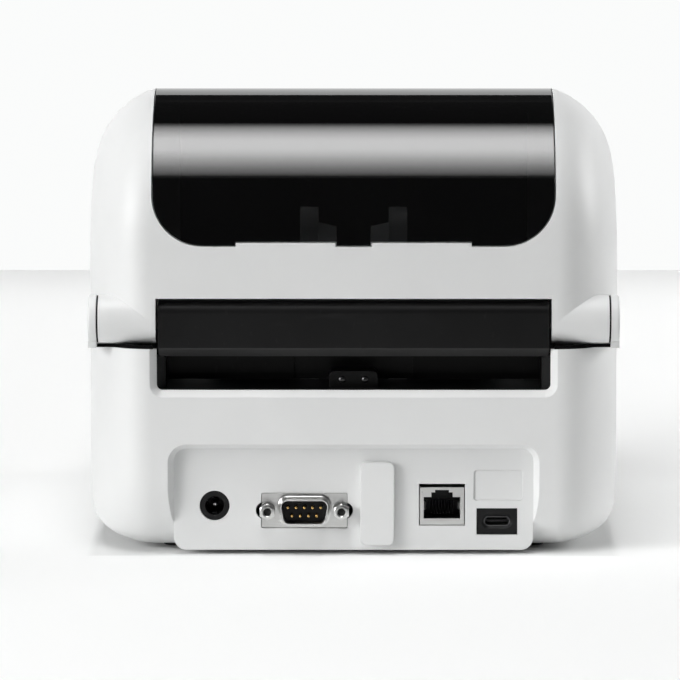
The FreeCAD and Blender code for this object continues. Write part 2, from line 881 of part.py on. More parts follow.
def motor_pinion():
    gear = prism_x(gear_corners(motor_pinion_teeth, (motor_y, motor_z), motor_phase()), gear_span)
    shaft = rod_x((bracket_x - motor_length / 2, gear_span[1] + shaft_end), motor_y, motor_z, gear_post_radius)
    return gear.fuse(shaft)


def motor():
    can = rod_x((bracket_x - motor_length, bracket_x), motor_y, motor_z, motor_radius)
    boss = rod_x((bracket_x, bracket_x + bracket_thickness), motor_y, motor_z, motor_radius / 3)
    bore = rod_x((bracket_x - motor_length / 2 - part_gap, bracket_x + 2 * bracket_thickness), motor_y, motor_z,
                 gear_post_radius + running_clearance)
    return can.fuse(boss).cut(bore)


# An upright sheet with a folded foot; it carries the motor and the idler's post
def motor_bracket():
    ys = (idler_y - idler_radius, motor_y + motor_radius)
    top = idler_z + idler_radius / 2
    xs = (bracket_x, bracket_x + bracket_thickness)
    sheet = prism_x([(ys[0], chassis_top, 0), (ys[1], chassis_top, 0), (ys[1], motor_z, bracket_round),
                     (ys[0] + bracket_round, top, bracket_round), (ys[0], top - bracket_round, bracket_round / 2)], xs)
    foot = box((bracket_x - bracket_foot, xs[1]), ys, (chassis_top, chassis_top + bracket_thickness))
    foot = foot.cut(rod_x((0, bracket_x), motor_y, motor_z, motor_radius + part_gap))
    post = rod_x((bracket_x, gear_span[1] + shaft_end), idler_y, idler_z, gear_post_radius)
    hole = rod_x((xs[0] - wall, xs[1] + wall), motor_y, motor_z, motor_radius / 3)
    return sheet.fuse([foot, post]).cut(hole)


def platen_shaft():
    return rod_x((-tray_half - gear_inset, gear_span[1] + shaft_end), platen_y, platen_height, platen_shaft_radius)


def platen_rubber():
    xs = (-platen_half, platen_half)
    tube = rod_x(xs, platen_y, platen_height, platen_radius)
    return tube.cut(rod_x(xs, platen_y, platen_height, platen_shaft_radius))


def platen_bearing():
    bush = rod_x((bay_half, tray_half), platen_y, platen_height, bearing_radius)
    collar = rod_x((bay_half - collar_length, bay_half), platen_y, platen_height, bearing_radius + collar_rim)
    bore = rod_x((0, tray_half + wall), platen_y, platen_height, platen_shaft_radius + running_clearance)
    return bush.fuse(collar).cut(bore)


# Rack teeth along X, facing the pinion, with a gap at the pinion's centre line
def rack_corners(xs, back, pitch_line):
    pitch = math.pi * gear_module
    root = pitch_line - tooth_root * gear_module
    tip = pitch_line + tooth_tip * gear_module
    first = math.ceil(xs[0] / pitch)
    last = math.floor(xs[1] / pitch) - 1
    corners = [(xs[1], root, 0), (xs[1], back, 0), (xs[0], back, 0), (xs[0], root, 0)]
    for tooth in range(first, last + 1):
        middle = (tooth + 0.5) * pitch
        corners.append((middle - tooth_half(-tooth_root), root, 0))
        corners.append((middle - tooth_half(tooth_tip), tip, 0))
        corners.append((middle + tooth_half(tooth_tip), tip, 0))
        corners.append((middle + tooth_half(-tooth_root), root, 0))
    return corners


def guide_left():
    foot = cradle_flat + part_gap
    half = guide_foot_width / 2
    neck = hub_radius - guide_neck_inset
    edge = [(half, foot, 0), (half, foot + guide_foot_height, guide_corner),
            (neck, foot + guide_shoulder_height, guide_shoulder_corner), (neck, guide_top, guide_corner)]
    rear_edge = [(roll_axis_y + u, v, radius) for u, v, radius in edge]
    front_edge = [(roll_axis_y - u, v, radius) for u, v, radius in reversed(edge)]
    plate = prism_x(rear_edge + front_edge, (guide_inner, guide_outer))
    bowl = rod_x((guide_inner, guide_outer), roll_axis_y, roll_axis_height, cradle_radius - part_gap)
    hub = Part.makeCone(hub_radius - hub_taper, hub_radius, hub_length,
                        Vector(hub_inner, roll_axis_y, roll_axis_height), Vector(1, 0, 0))
    pitch_line = roll_axis_y - guide_pinion_radius
    back = pitch_line - tooth_root * gear_module - rack_width
    end = -guide_travel - guide_pinion_radius
    rack = prism_z(rack_corners((end, guide_outer), back, pitch_line), (rack_bottom, rack_top))
    stem = box((guide_inner, guide_outer), around(pitch_line, guide_slot_width - 2 * part_gap),
               (rack_bottom, foot + tray_wall))
    return plate.common(bowl).fuse([hub, rack, stem])


def guide_right():
    return turned(guide_left())


def guide_pinion():
    zs = (rack_bottom, rack_top)
    gear = prism_z(gear_corners(guide_pinion_teeth, (0, roll_axis_y), 90), zs)
    bore = rod_z((rack_bottom - wall, rack_top + wall), 0, roll_axis_y, guide_post_radius + running_clearance)
    return gear.cut(bore)


def media_sensor():
    half = sensor_width / 2
    ys = around(sensor_y, sensor_depth)
    top = slot_floor + sensor_rise
    lip_top = deck_under - part_gap
    body = prism_x([(ys[0], lip_top - sensor_lip, 0), (ys[1], lip_top - sensor_lip, 0),
                    (ys[1], top, sensor_corner), (ys[0], top, sensor_corner)], (-half, half))
    lip_ys = around(sensor_y, sensor_depth + 2 * sensor_lip)
    return body.fuse(box((-half, half), lip_ys, (lip_top - sensor_lip, lip_top)))


def latch_shaft():
    reach = side_inner - part_gap
    return rod_x((-reach, reach), latch_y, latch_height, latch_shaft_radius)


# The latch plate on the +X side: a ring on the shaft, an arm with a nose beside the strike, a finger lever
def latch_left():
    half = latch_arm_width / 2
    nose_low = strike_height + strike_radius
    nose_top = nose_low + latch_arm_width / 2
    nose_y = strike_y - strike_radius - part_gap
    arm = prism_x([(latch_y - half, latch_height, 0), (latch_y + half, latch_height, 0),
                   (latch_y + half, nose_low, latch_round), (nose_y, nose_low, latch_round),
                   (nose_y, nose_top, 2 * latch_round), (latch_y - half, nose_top, 4 * latch_round)], latch_span)
    ring = rod_x(latch_span, latch_y, latch_height, latch_ring_radius)
    lever_face = half_width - part_gap
    lever_zs = (lever_top - lever_height, lever_top)
    lever = prism_x(rectangle(around(latch_y, lever_length), lever_zs, lever_corner), (latch_span[0], lever_face))
    dish_zs = (lever_zs[0] + lever_rim, lever_zs[1] - lever_rim)
    hollow = prism_x(rectangle(around(latch_y, lever_length - 2 * lever_rim), dish_zs, lever_corner - lever_gap),
                     (lever_face - lever_dish, half_width))
    bore = rod_x((0, half_width), latch_y, latch_height, latch_shaft_radius)
    return arm.fuse([ring, lever]).cut([bore, hollow])


def latch_right():
    return mirrored(latch_left())


# The black sill under the label exit, with a slanted top that leads the label out
def exit_lip():
    half = exit_half - part_gap
    inner = front + exit_depth - part_gap
    corners = [(front, exit_sill, 0), (inner, exit_sill, 0), (inner, case_top - lip_fall, 0),
               (front + exit_depth / 2, case_top, 0), (front, case_top, lip_round)]
    return prism_x(corners, (-half, half))


# A steel blade on the sill with a row of tearing teeth
def tear_bar():
    y = front + exit_depth / 2
    count = int(2 * (exit_half - tear_margin) / tear_pitch)
    half = count * tear_pitch / 2
    tip = case_top + tear_rise
    corners = [(half, case_top, 0), (-half, case_top, 0), (-half, tip - tear_tooth, 0)]
    for tooth in range(count):
        left = -half + tooth * tear_pitch
        corners.append((left + tear_pitch / 2, tip, 0))
        corners.append((left + tear_pitch, tip - tear_tooth, 0))
    return prism_y(corners, (y - tear_thickness, y))


def control_panel():
    xs = (-panel_half_width + slack, panel_half_width - slack)
    zs = (panel_low + slack, panel_high - slack)
    plate = prism_y(rectangle(xs, zs, panel_corner), (panel_face, panel_back))
    through = (front - wall, panel_back + wall)
    holes = [rod_y(through, x, z, button_radius + slack) for x, z in button_places()]
    holes += [rod_y(through, x, z, light_radius) for x, z in light_places()]
    return plate.cut(holes)


def button(place):
    x, z = place
    face = panel_face - button_proud
    stem = rod_y((face, flange_face), x, z, button_radius)
    flange = rod_y((flange_face, flange_face + button_flange), x, z, button_radius + button_flange)
    dish = Part.makeSphere(button_dish_radius, Vector(x, face + button_dish - button_dish_radius, z))
    return stem.fuse(flange).cut(dish)


# The small board behind the panel, with a switch at the end of each button's travel
def key_board():
    half = panel_half_width - key_board_margin
    plate = box((-half, half), (key_board_face, key_board_face + board_thickness),
                (panel_low + key_board_margin, panel_high - key_board_margin))
    switches = [rod_y((switch_face, key_board_face), x, z, switch_radius) for x, z in button_places()]
    return plate.fuse(switches)


def status_light(place):
    x, z = place
    return rod_y((panel_face, button_seat), x, z, light_radius)


def hinge_pin():
    return rod_x((knuckle_outer - hinge_pin_grip, ear_outer - wall / 2), hinge_y, hinge_z, hinge_pin_radius)


# The part of the middle band that the window fills, as seen from the rear and from above
def window_cut(grow):
    half = flat_half - window_gap + grow
    front_edge = front + window_front_inset - grow
    bottom = window_bottom - grow
    corner = window_corner + grow
    above = body_height + wall
    rear_view = prism_y([(-half, bottom, corner), (half, bottom, corner), (half, above, 0), (-half, above, 0)],
                        (front_edge, rear + wall))
    behind = rear + 2 * wall
    top_view = prism_z([(-half, front_edge, corner), (half, front_edge, corner), (half, behind, 0),
                        (-half, behind, 0)], (bottom - wall, above))
    return rear_view.common(top_view)


# Two flat tabs of the cover stand in notches of the window's lower edge
def window_tabs(grow):
    low = window_bottom - window_gap
    tabs = []
    for side in (-1, 1):
        xs = around(side * window_tab_offset, window_tab_width + 2 * grow)
        tabs.append(box(xs, (rear - 2 * wall, rear + wall), (low - wall, low + window_tab_height + grow)))
    return tabs


def band_shell(outer_inset, inner_inset):
    outer = Part.Face(side_profile(-flat_half, 0, outer_inset)).extrude(Vector(flat_width, 0, 0))
    inner = Part.Face(side_profile(-flat_half, 0, inner_inset)).extrude(Vector(flat_width, 0, 0))
    return outer.cut(inner)


def window():
    return band_shell(0, wall).common(window_cut(0)).cut(window_tabs(window_gap))


# The white cover with its window opening, the cut-out over the beam and the two hinge knuckles
def top_cover():
    shell = form_slice(0, cover_bottom, body_height + wall)
    shell = shell.cut(case_form(wall))
    opening = window_cut(window_gap).cut(window_tabs(0))
    beam_cut = box((-knuckle_inner, knuckle_inner), (beam_front - wall, rear + wall),
                   (cover_bottom - wall, cover_rear_edge))
    ear_room = rod_x((knuckle_outer, half_width + wall), hinge_y, hinge_z, knuckle_radius + ear_gap)
    web_room = box((knuckle_outer, half_width + wall), (hinge_y - ear_web - ear_gap, rear),
                   (cover_bottom - wall, hinge_z + ear_gap))
    exit_cut = box((-exit_half, exit_half), (front - wall, front + 2 * exit_depth),
                   (cover_bottom - wall, exit_top))
    under_knuckle = box((knuckle_inner, half_width + wall), (hinge_y, rear + wall), (cover_bottom - wall, hinge_z))
    cuts = [opening, beam_cut, exit_cut]
    for cut in (ear_room, web_room, under_knuckle):
        cuts.extend([cut, mirrored(cut)])
    shell = shell.cut(cuts)
    knuckle = rod_x((knuckle_inner, knuckle_outer), hinge_y, hinge_z, knuckle_radius)
    bore = rod_x((knuckle_outer - hinge_pin_grip - part_gap, knuckle_outer + wall), hinge_y, hinge_z,
                 hinge_pin_radius + running_clearance)
    return shell.fuse([knuckle, mirrored(knuckle)]).cut([bore, mirrored(bore)])


# A black box inside the cover's front: cheeks for the head's pivot, a rear wall and a deck over the head
def head_housing():
    room = form_slice(wall + slack, housing_floor, body_height).common(
        box((-housing_half, housing_half), (front, housing_rear), (housing_floor, body_height)))
    inner_half = housing_half - housing_wall
    below = box((-inner_half, inner_half), (front, housing_rear - housing_wall), (0, housing_deck))
    above = box((-inner_half, inner_half), (front, housing_rear - housing_wall),
                (housing_deck + housing_wall, body_height))
    pivot = rod_x((-body_width, body_width), pivot_y, pivot_z, head_pivot_radius)
    return room.cut([below, above, pivot])


def head_pivot():
    return rod_x((-housing_half, housing_half), pivot_y, pivot_z, head_pivot_radius)


def thermal_head():
    return box((-head_half, head_half), (head_rear - head_depth, head_rear), (head_low, sink_low))


# A finned extrusion: a flat base with fins along the print width
def heat_sink():
    xs = (-head_half, head_half)
    ys = (head_rear - head_depth, head_rear - head_depth + sink_depth)
    base = box(xs, ys, (sink_low, sink_low + sink_height / 3))
    pitch = (sink_depth - fin_thickness) / (sink_fins - 1)
    fins = [box(xs, (ys[0] + i * pitch, ys[0] + i * pitch + fin_thickness), (sink_low, sink_top))
            for i in range(sink_fins)]
    return base.fuse(fins)


# A steel plate on the heat sink with two ears that turn on the pivot
def head_bracket():
    ys = (head_rear - head_depth, head_rear - head_depth + sink_depth)
    top = sink_top + head_plate
    plate = box((-head_half, head_half), ys, (sink_top, top))
    reach = head_ear_reach
    ear = prism_x([(ys[1] - head_ear_root, sink_top, 0), (ys[1], sink_top, 0),
                   (pivot_y + reach, pivot_z - reach, head_ear_round),
                   (pivot_y + reach, pivot_z + reach, head_ear_round),
                   (pivot_y - head_ear_lead, pivot_z + reach, head_ear_round),
                   (ys[1] - head_ear_root, top, 0)], (head_half - head_plate, head_half))
    bore = rod_x((0, body_width), pivot_y, pivot_z, head_pivot_radius + running_clearance)
    ear = ear.cut(bore)
    return plate.fuse([ear, mirrored(ear)])


# A leaf spring under the housing's deck that leans down towards the head bracket
def head_spring(x):
    tip = sink_top + head_plate + spring_lift
    root_y = pivot_y
    bend_y = pivot_y - spring_root
    tip_y = platen_y
    t = spring_thickness
    corners = [(root_y, housing_deck, 0), (bend_y, housing_deck, 0), (tip_y, tip + t, 0),
               (tip_y, tip, 0), (bend_y, housing_deck - t, 0), (root_y, housing_deck - t, 0)]
    return prism_x(corners, around(x, spring_width))


def strike():
    return rod_x((latch_span[0], side_inner), strike_y, strike_height, strike_radius)


def dc_jack():
    xs = around(dc_x, dc_body_width)
    body = box(xs, (bay_back - dc_body_depth, bay_back), (board_top, dc_z + dc_body_width / 2))
    barrel = rod_y((bay_back, bay_plane - slack), dc_x, dc_z, dc_radius)
    bore = rod_y((bay_back - dc_body_depth + wall, bay_plane + wall), dc_x, dc_z, dc_bore)
    return body.fuse(barrel).cut(bore)


def dc_pin():
    return rod_y((bay_back - dc_body_depth + wall, bay_plane - dc_pin_setback), dc_x, dc_z, dc_pin_radius)


# The steel shell: a flange with a D-shaped tube folded out of it
def serial_shell():
    flange_ys = (flange_rear - serial_flange_thickness, flange_rear)
    flange = prism_y(rectangle(around(serial_x, serial_flange_width), around(serial_z, serial_flange_height),
                               serial_flange_corner), flange_ys)
    tube = prism_y(serial_outline(0), (flange_ys[0], shell_tip))
    shell = flange.fuse(tube)
    reach = serial_shell_width / 2 + slack
    fold = [edge for edge in shell.Edges if abs(edge.BoundBox.YMin - flange_rear) < slack
            and abs(edge.BoundBox.YMax - flange_rear) < slack
            and serial_x - reach < edge.BoundBox.XMin and edge.BoundBox.XMax < serial_x + reach]
    shell = shell.makeFillet(serial_fold, fold)
    hollow = prism_y(serial_outline(-serial_shell_wall), (flange_ys[0] - wall, shell_tip + wall))
    return shell.cut(hollow)


def serial_insert():
    back = flange_rear - serial_insert_depth
    inside = prism_y(serial_outline(-serial_shell_wall - slack), (back, flange_rear + serial_insert_rise))
    carrier = box(around(serial_x, serial_flange_width - 2 * serial_carrier_margin),
                  (bay_back - serial_carrier_depth, back), (board_top, serial_z + serial_shell_height / 2))
    return inside.fuse(carrier).cut(serial_pins())


# Five pins over four
def serial_pins():
    pins = []
    ys = (flange_rear - serial_pin_root, shell_tip - serial_pin_setback)
    for count, side in ((5, 1), (4, -1)):
        for i in range(count):
            x = serial_x + (i - (count - 1) / 2) * serial_pin_pitch
            z = serial_z + side * serial_row_pitch / 2
            pins.append(rod_y(ys, x, z, serial_pin_radius))
    return Part.makeCompound(pins)


def standoff(side):
    x = serial_x + side * serial_screw_spacing / 2
    radius = standoff_across / math.sqrt(3)
    angles = [math.radians(60 * i + 30) for i in range(6)]
    corners = [(x + radius * math.cos(a), serial_z + radius * math.sin(a), 0) for a in angles]
    nut = prism_y(corners, (flange_rear, flange_rear + standoff_length))
    through = (flange_rear - wall, flange_rear + standoff_length + wall)
    return nut.cut(rod_y(through, x, serial_z, standoff_bore))


def lan_shield():
    xs = around(lan_x, lan_width)
    ys = (bay_plane - slack - lan_depth, bay_plane - slack)
    zs = (lan_low, lan_low + lan_height)
    skin = lan_skin
    hollow = box((xs[0] + skin, xs[1] - skin), (ys[0] - skin, ys[1] - skin), (zs[0] + skin, zs[1] - skin))
    mouth = prism_y(lan_mouth_outline(), (ys[1] - 2 * skin, ys[1] + skin))
    return box(xs, ys, zs).cut([hollow, mouth])


def lan_body():
    xs = around(lan_x, lan_width - 2 * lan_skin)
    rear_face = bay_plane - slack - lan_skin
    ys = (bay_plane - slack - lan_depth, rear_face)
    body = box(xs, ys, (lan_low + lan_skin, lan_low + lan_height - lan_skin))
    return body.cut(prism_y(lan_mouth_outline(), (rear_face - lan_mouth_depth, rear_face + wall)))


def usb_insert():
    xs = around(usb_x, usb_insert_width)
    zs = around(usb_z, usb_insert_height)
    block = box(xs, (bay_back, usb_face), zs)
    rim = wire_y(usb_outline(usb_chamfer), usb_face)
    chamfer = Part.makeLoft([wire_y(usb_outline(0), usb_face - usb_chamfer), rim], True, True)
    hole = prism_y(usb_outline(0), (bay_back - wall, usb_face))
    return block.cut([hole, chamfer])


def usb_shell():
    mouth = usb_face - usb_chamfer
    tube = prism_y(usb_outline(0), (mouth - usb_depth, mouth))
    return tube.cut(prism_y(usb_outline(-usb_skin), (mouth - usb_depth + usb_skin, mouth + wall)))


def usb_tongue():
    mouth = usb_face - usb_chamfer
    return box(around(usb_x, usb_tongue_width), (mouth - usb_depth + usb_skin, mouth - usb_tongue_setback),
               around(usb_z, usb_tongue_thickness))


def port_blank():
    xs = around(blank_x, blank_width)
    zs = (blank_low, blank_low + blank_height)
    plate = prism_y(rectangle(xs, zs, blank_corner), (bay_plane, bay_plane + blank_rise))
    return plate.fuse(prism_y(blank_tongue(0), (bay_back, bay_plane)))


def build():
    nodes = {
        "lower_case": lower_case(),
        "chassis_plate": chassis_plate(),
        "media_tray": media_tray(),
        "main_board": main_board(),
        "dc_jack": dc_jack(),
        "dc_pin": dc_pin(),
        "serial_shell": serial_shell(),
        "serial_insert": serial_insert(),
        "serial_pins": serial_pins(),
        "serial_standoff_left": standoff(1),
        "serial_standoff_right": standoff(-1),
        "lan_shield": lan_shield(),
        "lan_body": lan_body(),
        "usb_insert": usb_insert(),
        "usb_shell": usb_shell(),
        "usb_tongue": usb_tongue(),
        "port_blank": port_blank(),
        "hinge_pin_left": hinge_pin(),
        "hinge_pin_right": mirrored(hinge_pin()),
        "platen_bearing_left": platen_bearing(),
        "platen_bearing_right": mirrored(platen_bearing()),
        "motor": motor(),
        "motor_bracket": motor_bracket(),
        "exit_lip": exit_lip(),
        "tear_bar": tear_bar(),
        "control_panel": control_panel(),
        "key_board": key_board(),
        "platen_shaft": platen_shaft(),
        "platen_rubber": platen_rubber(),
        "platen_gear": platen_gear(),
        "idler_gear": idler_gear(),
        "motor_pinion": motor_pinion(),
        "guide_left": guide_left(),
        "guide_right": guide_right(),
        "guide_pinion": guide_pinion(),
        "media_sensor": media_sensor(),
        "latch_shaft": latch_shaft(),
        "latch_left": latch_left(),
        "latch_right": latch_right(),
        "power_button": button(button_places()[0]),
        "feed_button": button(button_places()[1]),
        "top_cover": top_cover(),
        "window": window(),
        "head_housing": head_housing(),
        "head_pivot": head_pivot(),
        "head_bracket": head_bracket(),
        "heat_sink": heat_sink(),
        "thermal_head": thermal_head(),
        "head_spring_left": head_spring(spring_offset),
        "head_spring_right": head_spring(-spring_offset),
        "strike_left": strike(),
        "strike_right": mirrored(strike()),
    }
    for i, foot in enumerate(feet()):
        nodes[f"foot_{i + 1}"] = foot
    for i, place in enumerate(light_places()):
        nodes[f"status_light_{i + 1}"] = status_light(place)
    return nodes


os.makedirs("parts", exist_ok=True)
for name, shape in build().items():
    shape.exportStep(f"parts/{name}.step")
    print(f"{name}: {len(shape.Solids)} solid, {shape.Volume / 1000:.2f} cm3")
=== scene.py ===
import json
import math

import bmesh
import bpy
import numpy as np
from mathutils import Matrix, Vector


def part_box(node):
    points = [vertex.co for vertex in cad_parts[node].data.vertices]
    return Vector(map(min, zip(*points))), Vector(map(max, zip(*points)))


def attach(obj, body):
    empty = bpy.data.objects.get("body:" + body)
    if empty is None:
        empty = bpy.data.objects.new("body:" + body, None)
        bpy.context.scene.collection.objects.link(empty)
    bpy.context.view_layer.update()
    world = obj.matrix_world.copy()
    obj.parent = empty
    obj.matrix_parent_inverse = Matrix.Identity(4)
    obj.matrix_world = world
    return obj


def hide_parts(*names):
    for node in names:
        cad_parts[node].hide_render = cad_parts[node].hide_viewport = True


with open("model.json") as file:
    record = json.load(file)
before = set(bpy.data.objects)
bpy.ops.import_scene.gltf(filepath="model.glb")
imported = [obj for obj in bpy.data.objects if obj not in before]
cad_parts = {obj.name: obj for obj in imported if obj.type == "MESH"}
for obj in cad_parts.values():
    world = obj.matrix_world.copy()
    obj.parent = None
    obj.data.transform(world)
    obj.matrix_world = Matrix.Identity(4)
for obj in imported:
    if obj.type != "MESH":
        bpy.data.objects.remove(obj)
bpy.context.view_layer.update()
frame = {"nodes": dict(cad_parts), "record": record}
cadNodes = frame["nodes"]
scene = bpy.context.scene
print("frame loaded:", len(cadNodes), "nodes")


# small helpers for shader trees
socketKinds = dict(vector="NodeSocketVector", value="NodeSocketFloat")


def addNode(tree, kind, place, values=None, **settings):
    node = tree.nodes.new(kind)
    node.location = place
    for key, value in settings.items():
        setattr(node, key, value)
    for key, value in (values or {}).items():
        node.inputs[key].default_value = value
    return node


def newGroup(name, inputs, outputs):
    group = bpy.data.node_groups.new(name, "ShaderNodeTree")
    for way, sockets in (("INPUT", inputs), ("OUTPUT", outputs)):
        for label, kind in sockets:
            group.interface.new_socket(name=label, in_out=way, socket_type=socketKinds[kind])
    source = addNode(group, "NodeGroupInput", (-900, 0))
    sink = addNode(group, "NodeGroupOutput", (700, 0))
    return group, source, sink


def ramp(tree, place, stops, source):
    node = addNode(tree, "ShaderNodeValToRGB", place)
    node.color_ramp.elements[0].position = stops[0][0]
    node.color_ramp.elements[0].color = (stops[0][1],) * 3 + (1,)
    node.color_ramp.elements[1].position = stops[1][0]
    node.color_ramp.elements[1].color = (stops[1][1],) * 3 + (1,)
    for position, level in stops[2:]:
        node.color_ramp.elements.new(position).color = (level,) * 3 + (1,)
    tree.links.new(source, node.inputs["Fac"])
    return node.outputs["Color"]


def maths(tree, place, operation, *values):
    node = addNode(tree, "ShaderNodeMath", place, operation=operation)
    for socket, value in zip(node.inputs, values):
        if isinstance(value, (int, float)):
            socket.default_value = value
        else:
            tree.links.new(value, socket)
    return node.outputs[0]


# moulded grain: a fine noise for the tool's texture and a slow one for the unevenness of a moulded wall
grainLook = dict(
    fine={"Detail": 3.0, "Roughness": 0.6},
    slow={"Detail": 4.0, "Roughness": 0.5, "Distortion": 0.3},
    slowShare=0.35,
    tone=[(0.32, 0.0), (0.68, 1.0)],
)


def makeMouldGrain():
    look = grainLook
    group, source, sink = newGroup(
        "mouldGrain",
        [("Vector", "vector"), ("Grain", "value"), ("Flow", "value")],
        [("Height", "value"), ("Tone", "value")])
    fine = addNode(group, "ShaderNodeTexNoise", (-500, 150), look["fine"])
    slow = addNode(group, "ShaderNodeTexNoise", (-500, -200), look["slow"])
    for node, scale in ((fine, "Grain"), (slow, "Flow")):
        group.links.new(source.outputs["Vector"], node.inputs["Vector"])
        group.links.new(source.outputs[scale], node.inputs["Scale"])
    height = maths(group, (-200, 100), "MULTIPLY_ADD", slow.outputs["Fac"], look["slowShare"], fine.outputs["Fac"])
    group.links.new(height, sink.inputs["Height"])
    group.links.new(ramp(group, (-200, -200), look["tone"], slow.outputs["Fac"]), sink.inputs["Tone"])
    return group


# drawn or rolled metal: noise stretched along one axis, so that it makes fine streaks
streakLook = dict(noise={"Scale": 1.0, "Detail": 4.0, "Roughness": 0.65}, tone=[(0.3, 0.0), (0.7, 1.0)])


def makeDrawnStreak():
    look = streakLook
    group, source, sink = newGroup(
        "drawnStreak",
        [("Vector", "vector"), ("Stretch", "vector")],
        [("Height", "value"), ("Tone", "value")])
    mapping = addNode(group, "ShaderNodeMapping", (-600, 0), vector_type="POINT")
    group.links.new(source.outputs["Vector"], mapping.inputs["Vector"])
    group.links.new(source.outputs["Stretch"], mapping.inputs["Scale"])
    streak = addNode(group, "ShaderNodeTexNoise", (-350, 0), look["noise"])
    group.links.new(mapping.outputs["Vector"], streak.inputs["Vector"])
    group.links.new(streak.outputs["Fac"], sink.inputs["Height"])
    group.links.new(ramp(group, (0, -150), look["tone"], streak.outputs["Fac"]), sink.inputs["Tone"])
    return group


# handling marks: thin broken scratches wherever one of two stretched noises peaks; they are paler and duller
scuffLook = dict(
    ways=[((0.3, 0.2, 0.9), (40, 900, 250)), ((0.9, 0.4, -0.7), (700, 60, 300))],  # turn and stretch of each noise
    noise={"Scale": 1.0, "Detail": 2.0},
    peak=[(0.66, 0.0), (0.74, 1.0)],
    keep=0.5, pale=0.35, dull=0.2,
)


def makeScuffs():
    look = scuffLook
    group, source, sink = newGroup(
        "scuffs",
        [("Vector", "vector"), ("Amount", "value")],
        [("Mask", "value")])
    peaks = []
    for i, (turn, stretch) in enumerate(look["ways"]):
        height = 200 - 350 * i
        mapping = addNode(group, "ShaderNodeMapping", (-650, height), {"Rotation": turn, "Scale": stretch},
                          vector_type="POINT")
        group.links.new(source.outputs["Vector"], mapping.inputs["Vector"])
        noise = addNode(group, "ShaderNodeTexNoise", (-420, height), look["noise"])
        group.links.new(mapping.outputs["Vector"], noise.inputs["Vector"])
        peaks.append(ramp(group, (-180, height), look["peak"], noise.outputs["Fac"]))
    most = maths(group, (150, 0), "MAXIMUM", *peaks)
    scaled = maths(group, (350, 0), "MULTIPLY", most, source.outputs["Amount"])
    group.links.new(scaled, sink.inputs["Mask"])
    return group


mouldGrain = makeMouldGrain()
drawnStreak = makeDrawnStreak()
scuffs = makeScuffs()


def startMaterial(name):
    material = bpy.data.materials.new(name)
    material.use_nodes = True
    tree = material.node_tree
    shader = tree.nodes["Principled BSDF"]
    shader.location = (700, 0)
    coords = addNode(tree, "ShaderNodeTexCoord", (-1100, 0))
    return material, tree, shader, coords.outputs["Object"]


def placeGroup(tree, group, place, coords, values):
    node = addNode(tree, "ShaderNodeGroup", place, values, node_tree=group)
    tree.links.new(coords, node.inputs["Vector"])
    return node


def placeGrain(tree, coords, look):
    return placeGroup(tree, mouldGrain, (-800, 100), coords, {"Grain": look["grain"], "Flow": look["flow"]})


def mixColour(tree, place, factor, first, second):
    node = addNode(tree, "ShaderNodeMix", place, data_type="RGBA")
    for socket, value in ((node.inputs[6], first), (node.inputs[7], second)):
        if isinstance(value, tuple):
            socket.default_value = value + (1,)
        else:
            tree.links.new(value, socket)
    tree.links.new(factor, node.inputs[0])
    return node.outputs[2]


def spread(tree, place, source, low, high):
    node = addNode(tree, "ShaderNodeMapRange", place, {"To Min": low, "To Max": high})
    tree.links.new(source, node.inputs["Value"])
    return node.outputs["Result"]


# rounded edges for the light and a shallow bump on top of them
bevelSamples = 6


def finishNormal(tree, shader, look, height):
    rounded = addNode(tree, "ShaderNodeBevel", (150, -500), {"Radius": look["edge"]}, samples=bevelSamples)
    bump = addNode(tree, "ShaderNodeBump", (400, -400), {"Strength": look["bump"], "Distance": look["depth"]})
    tree.links.new(height, bump.inputs["Height"])
    tree.links.new(rounded.outputs["Normal"], bump.inputs["Normal"])
    tree.links.new(bump.outputs["Normal"], shader.inputs["Normal"])


# two close tones and an uneven gloss, both led by a pattern's tone, over its bump
def twoTones(tree, shader, look, pattern):
    tone = pattern.outputs["Tone"]
    tree.links.new(mixColour(tree, (0, 250), tone, look["colour"], look["shade"]), shader.inputs["Base Color"])
    tree.links.new(spread(tree, (0, 0), tone, *look["rough"]), shader.inputs["Roughness"])
    finishNormal(tree, shader, look, pattern.outputs["Height"])


